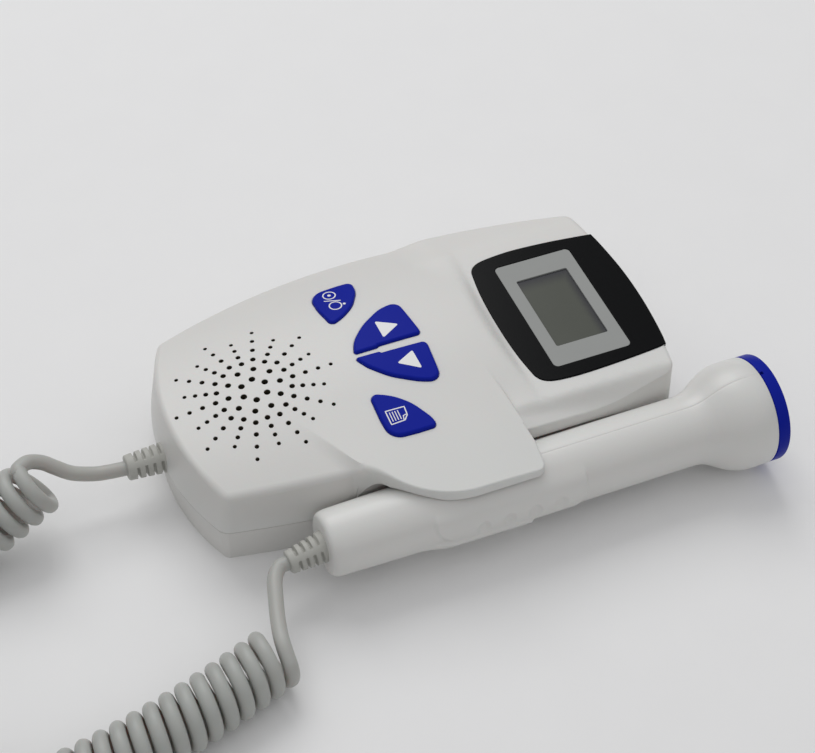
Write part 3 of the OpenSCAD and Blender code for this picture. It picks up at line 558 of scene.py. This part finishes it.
# outline of the top: the case side and the wing's edge, whichever lies farther out
DRAFT_RISE = 16
plan0, plan1, body_top = case_outline(0), case_outline(DRAFT_RISE), case_outline(13.5)
in_wing = inside(body_top, wing_edge)
wing_out = ~inside(wing_edge, body_top)
order = np.roll(np.arange(len(body_top)), -int(np.argmax(in_wing & ~np.roll(in_wing, 1))))
kept_body = [i for i in order if not in_wing[i]]
w_order = np.roll(np.arange(len(wing_edge)), -int(np.argmax(wing_out & ~np.roll(wing_out, 1))))
w_order = [i for i in w_order if wing_out[i]]
outline = np.vstack([wing_edge[w_order], body_top[kept_body]])
is_wing = np.array([True] * len(w_order) + [False] * len(kept_body))
body_index = np.array([0] * len(w_order) + kept_body)
# radius of the rounded upper edge: 1.7 mm, 2.5 mm on the near side, 0.6 mm beside the display
# and 0.55 mm on the wing's lip
lip = is_wing * smoothstep((outline[:, 0] + 32) / 14)
near_side = smoothstep((-outline[:, 1] - 15) / 12) * smoothstep((70 - outline[:, 0]) / 8)
edge_r = 1.7 + 0.8 * near_side * smoothstep((0 - outline[:, 0]) / 8)
edge_r = edge_r + near_side * smoothstep((outline[:, 0] - 15) / 2) * (
    -1.1 + 0.1 * smoothstep((outline[:, 0] - 18.5) / 9))
edge_r = edge_r * (1 - lip) + 0.55 * lip
for _ in range(3):
    edge_r = (np.roll(edge_r, 1) + edge_r + np.roll(edge_r, -1)) / 3
# the edge is an arc from the sloping top, whose fall there is measured, down to the upright side,
# and the side's own draft depends on the height at which the arc ends
for _ in range(4):
    normal = outward(outline)
    for _ in range(2):
        normal = unit(np.roll(normal, 1, 0) + normal + np.roll(normal, -1, 0))
    inner = outline - normal * (edge_r * 0.6)[:, None]
    nearer = outline - normal * (edge_r * 0.6 + 0.4)[:, None]
    rise = top_height(*nearer.T) - top_height(*inner.T)
    fall = np.clip(np.arctan(rise / 0.4), 0, 0.8)
    inner_line = outline - normal * (edge_r * (1 - np.sin(fall)))[:, None]
    centre_z = top_height(*inner_line.T) - edge_r * np.cos(fall)
    share = ((centre_z - PART_Z) / DRAFT_RISE)[:, None]
    drafted = plan0[body_index] + (plan1 - plan0)[body_index] * share
    outline = np.where(is_wing[:, None], outline, drafted)

key_holes = {n: p + outward(p) * 0.28 for n, p in key_plans.items()}
window_hole = window_plan + outward(window_plan) * 0.12
round_holes = [circle(x, y, r, BORE_SIDES) for x, y, r in grille]
holes = round_holes + list(key_holes.values()) + [window_hole]
# mesh edges follow the crest and the creases of the display's rim
lines = [crest + outward(crest) * d for d in (-0.25, 0, 0.3, 0.6, 1.0, 1.8, 2.7, 3.6)]
lines += [np.array([(x, y) for y in np.arange(-34, 34, 1.3)])
          for x in (21.4, 22.6, 24.6, 25.8, 26.6)]
lines += [np.array([(x, y) for x in np.arange(10, 68, 1.4)])
          for y in (-32, -30.5, -29, -27.5, 28, 30.5)]
chains = []
for line in lines:
    ok = inside(line, inner_line) & (distance(line, inner_line) > 0.4)
    for hole in holes:
        ok &= ~inside(line, hole) & (distance(line, hole) > 0.25)
    if len(line) == len(crest):
        ok &= line[:, 1] < -12.4
    chains += runs(line, ok)
plan, tris = sheet(inner_line, holes, chains, 1.7, 0.36)
shell_points = [np.column_stack([plan, top_height(plan[:, 0], plan[:, 1])])]
shell_faces, count = [tuple(t) for t in tris], len(plan)


def add_rings(rings, flip=False, closed=True):
    """Adds rings of points to the upper shell with quads between them."""
    global count
    faces = grid_faces(len(rings), len(rings[0]), closed)
    shell_faces.extend([tuple(count + i for i in (f[::-1] if flip else f)) for f in faces])
    shell_points.extend(rings)
    count += len(rings) * len(rings[0])


centre = outline - normal * edge_r[:, None]
edge_rings = []
for t in np.linspace(0, 1, 9):
    angle = (1 - t) * (np.pi / 2 - fall)
    spread = centre + normal * (edge_r * np.cos(angle))[:, None]
    edge_rings.append(np.column_stack([spread, centre_z + edge_r * np.sin(angle)]))
add_rings(edge_rings, flip=True)

# side walls: straight down at the wing, drafted round the case, hollowed beside the probe
is_lip = is_wing & (outline[:, 0] > -28)
foot = np.where(is_lip, under_height(outline[:, 0], outline[:, 1]), PART_Z)
wall = []
for t in np.linspace(0, 1, 24):
    z = centre_z + (foot - centre_z) * t
    share = ((z - PART_Z) / DRAFT_RISE)[:, None]
    drafted = plan0[body_index] + (plan1 - plan0)[body_index] * share
    flare = normal * (0.1 * (centre_z - z) * smoothstep((-22 - outline[:, 0]) / 9))[:, None]
    p = np.where(is_wing[:, None], outline + flare, drafted)
    y = np.where(is_lip, p[:, 1], cradle_y(p[:, 1], z))
    wall.append(np.column_stack([p[:, 0], y, z]))
wall.append(np.column_stack([wall[-1][:, :2] - normal * np.where(is_lip, 0.4, 2.0)[:, None], foot]))
add_rings(wall, flip=True)

# the case side below the wing, and the wing's scooped underside
below = [order[-1], *[i for i in order if in_wing[i]], kept_body[0]]
wall = []
for z in np.linspace(25.0, PART_Z, 20):
    p = plan0[below] + (plan1 - plan0)[below] * (z - PART_Z) / DRAFT_RISE
    wall.append(np.column_stack([p[:, 0], cradle_y(p[:, 1], z), p[:, 0] * 0 + z]))
add_rings(wall, flip=True, closed=False)
across = outline[is_wing]
across = across[(across[:, 0] > -33)]
under = []
for t in np.linspace(0, 1, 16):
    y = across[:, 1] + (np.minimum(-30.0, across[:, 1] + 20) - across[:, 1]) * t
    under.append(np.column_stack([across[:, 0] - 0.02, y, under_height(across[:, 0], y)]))
add_rings(under, flip=True, closed=False)

# each opening's softened rim and its walls; the walls inside the grille's bores are painted dark, a
# painted shade of the deep narrow holes
shaded = []
for line in holes:
    z = top_height(line[:, 0], line[:, 1])
    is_bore = len(line) == BORE_SIDES
    r, depth = (0.12, 2.0) if is_bore else (0.25, 2.3)
    bend = [(0, 0), (0.5, 0.13), (0.87, 0.5), (1, 1), (1, 0.45 / r), (1, depth / r)]
    add_rings([np.column_stack([line - outward(line) * r * s, z - r * d]) for s, d in bend])
    if is_bore:
        shaded += range(len(shell_faces) - 2 * BORE_SIDES, len(shell_faces))

abs_white, abs_shader = material("case_abs", Specular_IOR_Level=0.5, Subsurface_Weight=0.04)
grain(abs_white, abs_shader, "#e0dfdc", "#dddcd9", 1500.0, 0.05, (0.36, 0.46))
# painted shade: the white plastic bore walls get a dark olive colour that stands for the shade
# inside the narrow holes
bore_shade_paint, bore_shade_shader = material("grille_bore_painted_shade", Specular_IOR_Level=0.1)
grain(bore_shade_paint, bore_shade_shader, "#4a4538", "#3b372c", 1500.0, 0.0, (0.7, 0.8))
shell = piece("upper_shell", np.vstack(shell_points) * MM, shell_faces, "case",
              (abs_white, bore_shade_paint), sharp=34, second=shaded)
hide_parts("upper_housing")

# ---------------------------------------------------------------- keys
# Four keys of satin blue plastic stand 0.85 mm proud of the shell, each with a softly rounded
# edge and a symbol printed in white. They sit on a rubber mat and press straight down.

key_blue, key_shader = material("key_plastic", Specular_IOR_Level=0.06)
grain(key_blue, key_shader, "#13249f", "#0f1e96", 1800.0, 0.06, (0.34, 0.44))
white_ink, ink_shader = material("symbol_white", Specular_IOR_Level=0.4)
grain(white_ink, ink_shader, "#f6f6f6", "#eeeeee", 2500.0, 0.02, (0.4, 0.5))


KEY_RISE, KEY_EDGE_R, INK = 0.85, 0.75, 0.03


def key_height(x, y):
    """Height of a key's flat part: the wing or crown below it, plus KEY_RISE."""
    return top_height(x, y) + KEY_RISE


for name, line in key_plans.items():
    n = outward(line)
    plan, tris = sheet(line - n * KEY_EDGE_R, spacing=1.4)
    rings = [np.column_stack([plan, key_height(*plan.T)])]
    for d in (0.75, 0.55, 0.36, 0.2, 0.08, 0.0):
        drop = KEY_EDGE_R - math.sqrt(max(KEY_EDGE_R ** 2 - (KEY_EDGE_R - d) ** 2, 0))
        ring = line - n * d
        rings.append(np.column_stack([ring, key_height(*ring.T) - drop]))
    rings.append(np.column_stack([line, top_height(*line.T) - 2.0]))
    faces = [tuple(t) for t in tris]
    faces += [tuple(len(plan) + i for i in f[::-1]) for f in grid_faces(len(rings) - 1, len(line))]
    key = piece("key_" + name, np.vstack(rings) * MM, faces, "key_" + name, key_blue, sharp=50)
    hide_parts("button_" + name)


def stroke(points, width, closed=False):
    """Outline of a drawn line: the points moved half the width to one side, then back along the
    other side. A closed line gives its outer and inner outlines."""
    p = np.asarray(points, float)
    if closed:
        p = resample(p, 0.4)
        n = outward(p)
        return p + n * width / 2, p - n * width / 2
    along = unit(np.gradient(p, axis=0))
    n = np.stack([-along[:, 1], along[:, 0]], 1)
    return np.vstack([p - n * width / 2, (p + n * width / 2)[::-1]]), None


def symbol(name, body, parts):
    """White ink on a key: each part is an outer outline and an opening, laid INK over the key
    and closed down its edge to the key's face."""
    points, faces, n = [], [], 0
    for outer, hole in parts:
        outer = rounded([(*p, 0) for p in outer], spacing=0.5)
        opening = [] if hole is None else [rounded([(*p, 0) for p in hole], spacing=0.5)]
        plan, tris = sheet(outer, opening, spacing=0.8)
        points.append(np.column_stack([plan, key_height(*plan.T) + INK]))
        faces += [tuple(n + i for i in t) for t in tris]
        n += len(plan)
        for k, line in enumerate([outer, *opening]):
            z = key_height(*line.T)
            points += [np.column_stack([line, z + INK]), np.column_stack([line, z - 0.02])]
            faces += [tuple(n + i for i in (f if k else f[::-1])) for f in grid_faces(2, len(line))]
            n += 2 * len(line)
    piece("symbol_" + name, np.vstack(points) * MM, faces, body, white_ink, smooth=False)


def triangle(corners):
    """A filled triangle with slightly rounded corners."""
    return [(rounded([(*c, 0.35) for c in corners], 4, 0.6), None)]


symbol("up", "key_up", triangle([(-5.9, 9.5), (-5.95, 2.8), (-0.2, 6.2)]))
symbol("down", "key_down", triangle([(-0.5, -4.05), (-6.0, -6.85), (-0.3, -10.6)]))
# two ringed dots across a bar
symbol("power", "key_power", [
    stroke(circle(-12.83, 25.3, 1.72, 24), 0.34, True), (circle(-12.83, 25.3, 0.5, 10), None),
    stroke(np.linspace((-15.1, 23.35), (-10.8, 21.8), 5), 0.34),
    stroke(circle(-12.97, 20.15, 1.7, 24), 0.34, True), (circle(-10.46, 19.95, 0.42, 10), None)])
# a page with a folded corner and four lines
page = [(-15.0, -24.65), (-11.1, -24.45), (-9.95, -23.1), (-9.75, -20.45), (-15.0, -20.3)]
fold = [(-9.95, -22.85), (-11.05, -23.05), (-11.35, -24.4)]
symbol("record", "key_record", [stroke(page, 0.32, True), stroke(fold, 0.3)] + [
    stroke([(-14.15 + 0.75 * k, -20.95), (-14.2 + 0.77 * k, -23.9)], 0.26) for k in range(4)])

# ---------------------------------------------------------------- display
# A flat black lens with polished edges fills the dish. It is open over a pale grey frame, and
# the grey-green glass of the unlit display lies a little below the frame.

lens_black, lens_shader = material("lens_black", Specular_IOR_Level=0.08)
grain(lens_black, lens_shader, "#07080a", "#050607", 700.0, 0.0, (0.16, 0.22))
frame_grey, frame_shader = material("lcd_frame", Specular_IOR_Level=0.4)
grain(frame_grey, frame_shader, "#9b9d9b", "#949694", 2200.0, 0.05, (0.45, 0.6))
panel_grey, panel_shader = material("lcd_panel", Specular_IOR_Level=0.3)
grain(panel_grey, panel_shader, "#4d5048", "#454840", 300.0, 0.0, (0.25, 0.35))
# painted shade: the panel's colour darkens along its display-end and far edges, where the frame's
# shadow falls on it
panel_place = add(panel_grey, "ShaderNodeTexCoord")
panel_split = add(panel_grey, "ShaderNodeSeparateXYZ", Vector=panel_place.outputs["Object"])
near_x = add(panel_grey, "ShaderNodeMapRange", {"interpolation_type": "SMOOTHSTEP"},
             Value=panel_split.outputs["X"], From_Min=0.0512, From_Max=0.0548)
near_y = add(panel_grey, "ShaderNodeMapRange", {"interpolation_type": "SMOOTHSTEP"},
             Value=panel_split.outputs["Y"], From_Min=0.0080, From_Max=0.0136)
frame_shade_mask = add(panel_grey, "ShaderNodeMath", {"operation": "MAXIMUM"},
                  _0=near_x.outputs["Result"], _1=near_y.outputs["Result"])
unshaded = panel_shader.inputs["Base Color"].links[0].from_socket
shade = add(panel_grey, "ShaderNodeMixRGB", Fac=frame_shade_mask.outputs[0], Color1=unshaded,
            Color2=linear("#26262e"))
panel_grey.node_tree.links.new(shade.outputs["Color"], panel_shader.inputs["Base Color"])

LENS_Z, FRAME_Z, PANEL_Z = 28.5, 28.38, 27.95
frame_plan = rounded([(34.8, -20, 1.5), (58.2, -20, 1.5), (58.2, 20, 1.5), (34.8, 20, 1.5)], 8, 1.0)
panel_plan = rounded([(38.7, -13.1, 0.5), (54.3, -13.1, 0.5), (54.3, 13.1, 0.5), (38.7, 13.1, 0.5)],
                     6, 1.0)


def plate(outer, z, hole=None, depth=1.0, r=0.3, hole_r=0.1):
    """A flat plate in the plan outline outer with a rounded upper edge and walls, open at hole."""
    plan, tris = sheet(outer - outward(outer) * r,
                       [] if hole is None else [hole + outward(hole) * hole_r], spacing=3.0)
    rings, faces = [np.column_stack([plan, plan[:, 0] * 0 + z])], [tuple(t) for t in tris]
    n = len(plan)
    bend = [(0, 0), (0.13, 0.5), (0.5, 0.87), (1, 1)]
    for line, size, flip in ((outer, r, True), (hole, -hole_r, False)):
        if line is None:
            continue
        loops = [np.column_stack([line - outward(line) * size * (1 - s), line[:, 0] * 0 + z
                                  - abs(size) * d]) for d, s in bend]
        loops.append(np.column_stack([line, line[:, 0] * 0 + z - depth]))
        faces += [tuple(n + i for i in (f[::-1] if flip else f))
                  for f in grid_faces(len(loops), len(line))]
        rings += loops
        n += len(loops) * len(line)
    return np.vstack(rings), faces


points, faces = plate(window_plan, LENS_Z, frame_plan, 1.2, 0.3)
lens = piece("display_lens", points * MM, faces, "case", lens_black, sharp=60)
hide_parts("display_window")
points, faces = plate(frame_plan - outward(frame_plan) * 0.05, FRAME_Z, panel_plan, 0.8, 0.12,
                      0.12)
bezel = piece("display_frame", points * MM, faces, "case", frame_grey, sharp=60)
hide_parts("lcd_bezel")
points, faces = plate(panel_plan - outward(panel_plan) * 0.03, PANEL_Z, None, 1.2, 0.05)
panel = piece("display_panel", points * MM, faces, "case", panel_grey, sharp=60)
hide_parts("lcd_glass")

# ---------------------------------------------------------------- probe
# The docked probe is a straight handle of two moulded white halves, joined along a fine seam in
# the upright plane. The near half carries a shallow grip with four thumb dimples over a raised
# ridge. A flared head holds a blue ring and the pale acoustic face.

probe_white, probe_shader = material("probe_abs", Specular_IOR_Level=0.55, Subsurface_Weight=0.04)
grain(probe_white, probe_shader, "#e1e0dd", "#deddda", 1500.0, 0.04, (0.3, 0.4))
# profile of the handle and its flared head, as x and radius
handle = np.array([(-41.5, 0.5), (-41.5, 7.0), (-41.4, 7.6), (-41.1, 8.15), (-40.6, 8.5),
                   (-39.8, 8.78), (-38, 8.95), (-20, 9.25), (10, 9.65), (40, 9.73), (62, 9.75),
                   (64, 9.8), (66, 10.1), (68, 10.9), (70, 12.1), (72, 13.3), (74, 14.25),
                   (76, 14.85), (78, 15.12), (80, 15.2), (84.0, 15.05), (84.3, 14.8), (84.3, 12)])


def patch(x, across, x0, x1, half, soft, end0, end1):
    """1 inside a patch on the handle and 0 outside, with an edge soft mm wide. Its ends are half
    ellipses end0 and end1 long: the share of the way out is the length of (along / end,
    across / half)."""
    along = np.maximum(np.maximum((x0 + end0 - x) / end0, (x - x1 + end1) / end1), 0)
    return smoothstep((1 - np.hypot(along, across / half)) * half / soft + 0.5)


GRIP_R = 9.7


def handle_radius(x, angle):
    """Radius of the handle's skin at a distance along it and an angle about it, where 0 is the
    far side, 90 the top and 180 the near side: the turned profile, the grip 0.6 mm higher with
    its four dimples, the ridge below it 1.2 mm higher, and the seam's fine groove."""
    flat = np.interp(x, handle[4:20, 0], handle[4:20, 1])
    arc = np.radians(angle - 150) * GRIP_R
    grip = 0.6 * patch(x, arc, -13.6, 29.4, 9.5, 0.5, 13.0, 3.5) * smoothstep((angle - 122) / 32)
    low = np.radians(angle - 213) * GRIP_R
    ridge = 1.2 * patch(x, low, -20, 14.3, 3.2, 1.4, 2.0, 1.2) * smoothstep((x + 17.5) / 9)
    for i in range(4):
        near = np.hypot(x - (7.35 * i - 0.45), np.radians(angle - 181) * 9.9 / 1.25)
        grip = grip - 0.95 * np.clip(1 - (near / (1.85 + 0.1 * i)) ** 2, 0, 1)
    seam = np.radians(np.minimum(np.abs(angle - 90), np.abs(angle - 270))) * GRIP_R
    fine = 0.09 - 0.08 * smoothstep((14 - x) / 12)
    return flat + np.maximum(grip, ridge) - fine * np.clip(1 - seam / 0.16, 0, 1)


def turned(profile, angles, closed=True):
    """Points and faces of rings of (x, radius) about the probe's axis at the given angles."""
    a = np.radians(angles)
    rings = []
    for x, r in profile:
        r = r(x, np.asarray(angles, float)) if callable(r) else r
        rings.append(np.column_stack([a * 0 + x, PROBE_Y + r * np.cos(a), PROBE_Z + r * np.sin(a)]))
    return np.vstack(rings), [f[::-1] for f in grid_faces(len(profile), len(a), closed)]


stations = sorted({*np.round(np.arange(-39.8, -18, 1.6), 2), *np.round(np.arange(-18, 31, 0.4), 2),
                   *np.round(np.arange(31, 64, 2.2), 2), *handle[11:20, 0],
                   *range(65, 77, 2)})
near_angles = [90, 90.5, 90.95, *np.arange(93, 140, 4), *np.arange(140, 246, 1.5),
               *np.arange(247, 267, 4), 269.05, 269.5, 270]
far_angles = [-90, -89.5, -89.05, *np.arange(-86, 88, 4), 89.05, 89.5, 90]
for side, angles in (("far", far_angles), ("near", near_angles)):
    skin = [(x, handle_radius) for x in stations]
    profile = [tuple(p) for p in handle[:5]] + skin + [tuple(p) for p in handle[20:]]
    points, faces = turned(profile, angles, closed=False)
    half = piece("probe_" + side, points * MM, faces, "probe", probe_white, sharp=50)
    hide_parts("probe_shell_" + side)


def notched(x, angle):
    """The ring's radius, less a small notch over the seam on its inner edge."""
    return 15.0 - 0.7 * np.where((np.abs(angle - 90) < 1.8) & (x < 85.4), 1, 0)


ring_angles = sorted({*range(0, 360, 4), 88.1, 88.3, 89, 91, 91.7, 91.9})
profile = [(84.4, 12.8), (84.4, lambda x, a: notched(x, a) - 0.25), (84.65, notched),
           (85.38, notched), (85.42, notched), (87.5, 15.0), (87.85, 14.85), (88, 14.5), (88, 12.8)]
points, faces = turned(profile, ring_angles)
ring = piece("probe_blue_ring", points * MM, faces, "probe", key_blue, sharp=40)
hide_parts("probe_ring")

face_white, face_shader = material("probe_face_plastic", Specular_IOR_Level=0.5)
grain(face_white, face_shader, "#dcddd7", "#d6d7d1", 900.0, 0.02, (0.25, 0.35))
# the face bulges as a sphere of 90 mm radius, to 88.6 mm along the probe
FACE_X, FACE_R = 88.6, 90
profile = [(85.2, 12.7), (87.6, 12.7)]
profile += [(FACE_X - FACE_R + math.sqrt(FACE_R ** 2 - r * r), r)
            for r in (12.5, 11, 9, 7, 5, 3, 1.5, 0.02)]
points, faces = turned(profile, range(0, 360, 5))
face = piece("probe_front_face", points * MM, faces, "probe", face_white, sharp=30)
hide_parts("probe_face")

# ---------------------------------------------------------------- cord guards
# Each end of the cord leaves through a tapered guard of soft grey vinyl, moulded over the cord,
# with four rows of curved slots that let it flex. Collars inside the shells hold the guards.

relief_soft, relief_shader = material("guard_vinyl", Specular_IOR_Level=0.35)
grain(relief_soft, relief_shader, "#bdbdb7", "#b5b5af", 1600.0, 0.06, (0.45, 0.6))


GUARD_SIDES, SLOT_DEPTH, TO_CAMERA = 64, 1.0, (-0.28, -0.6, 0.75)


def guard(name, start, along, length, r0, r1, body, replaced):
    """A tapered guard. Its radius falls evenly from r0 to r1, less a slot SLOT_DEPTH deep at four
    stations, which fades out at two bridges on opposite sides of the guard."""
    along = unit(along)
    side = unit(np.cross(along, (0, 0, 1)))
    up = np.cross(side, along)
    bridge = math.atan2(np.dot(up, TO_CAMERA), np.dot(side, TO_CAMERA))
    a = np.arange(GUARD_SIDES) * 2 * np.pi / GUARD_SIDES
    round_about = np.cos(a)[:, None] * side + np.sin(a)[:, None] * up
    open_part = smoothstep((np.abs(np.sin(a - bridge)) - 0.22) / 0.12)
    rings = [start + 0.3 * round_about]
    for s in [0.0, 0.3, *np.arange(0.6, length - 0.6, 0.16), length - 0.35, length - 0.12, length]:
        r = r0 + (r1 - r0) * s / length
        r -= 0.35 * max(0, (s - (length - 0.35)) / 0.35) ** 2
        slot = sum(np.clip(1 - abs(s - length * (0.2 + 0.19 * i)) / 0.42, 0, 1) for i in range(4))
        radius = r - SLOT_DEPTH * min(1.0, slot * 1.9) * open_part
        rings.append(start + along * s + radius[:, None] * round_about)
    rings.append(start + along * length + 1.6 * round_about)
    made = piece(name, np.vstack(rings) * MM, grid_faces(len(rings), GUARD_SIDES), body,
                 relief_soft, sharp=50)
    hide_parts(replaced)


guard("guard_case", np.array((-68.5, 0.8, 13.2)), (-1, 0, 0), 11.6, 4.3, 3.45, "case",
      "strain_relief_body")
guard("guard_probe", np.array((-41.0, -43.66, 15.25)), guard_along, 10.5, 4.3, 3.1, "probe",
      "strain_relief_probe")

# ---------------------------------------------------------------- lower shell and small parts
# The lower shell is the same white plastic. Its battery door, four rubber feet and four screws
# show from below, and the parts inside show only through openings.

# CAD nodes left showing, by look: name, lighter and darker colour, and least roughness
looks = {
    ("case_under", "#dbdad7", "#d7d6d3", 0.42): ["lower_housing"],
    ("door_plastic", "#e3e3df", "#dfdfdb", 0.42): ["battery_door"],
    ("foot_rubber", "#26282a", "#1e2022", 0.8): ["rubber_feet"],
    ("screw_steel", "#9a9c9e", "#86888a", 0.3): ["housing_screws"],
    ("contact_plate", "#c9cbcc", "#b4b6b7", 0.3): ["battery_contacts"],
    ("spring_wire", "#c0c2c3", "#a8aaab", 0.3): ["battery_springs"],
    ("battery_wrap", "#b08a3c", "#9c7830", 0.35): ["battery_left", "battery_right"],
    ("jack_plastic", "#26282a", "#1c1e20", 0.5): ["earphone_jack"],
    ("mat_rubber", "#3a3c3e", "#303234", 0.7): ["keypad_mat"],
    ("board_mask", "#1d5a38", "#164a2d", 0.45): ["main_board", "probe_board"],
    ("speaker_metal", "#55585b", "#484b4e", 0.4): ["speaker_frame", "speaker_magnet"],
    ("cone_paper", "#1b1c1e", "#141517", 0.8): ["speaker_cone"],
    ("dark_rubber", "#202224", "#181a1c", 0.8):
        ["window_gasket", "speaker_gasket", "probe_backing"],
    ("diffuser", "#d8dcd8", "#ccd0cc", 0.5): ["lcd_backlight"],
    ("piezo", "#c8b48a", "#b8a47a", 0.4): ["piezo_disc"],
}
node_look = {}
for (look, light, dark, rough), names in looks.items():
    metal = 1.0 if look in ("screw_steel", "contact_plate", "spring_wire") else 0.0
    mat, shader = material(look, Metallic=metal)
    grain(mat, shader, light, dark, 1400.0, 0.05, (rough, rough + 0.12))
    node_look.update({name: mat for name in names})
for name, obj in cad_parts.items():
    obj.data.materials.clear()
    obj.data.materials.append(node_look.get(name, node_look["window_gasket"]))
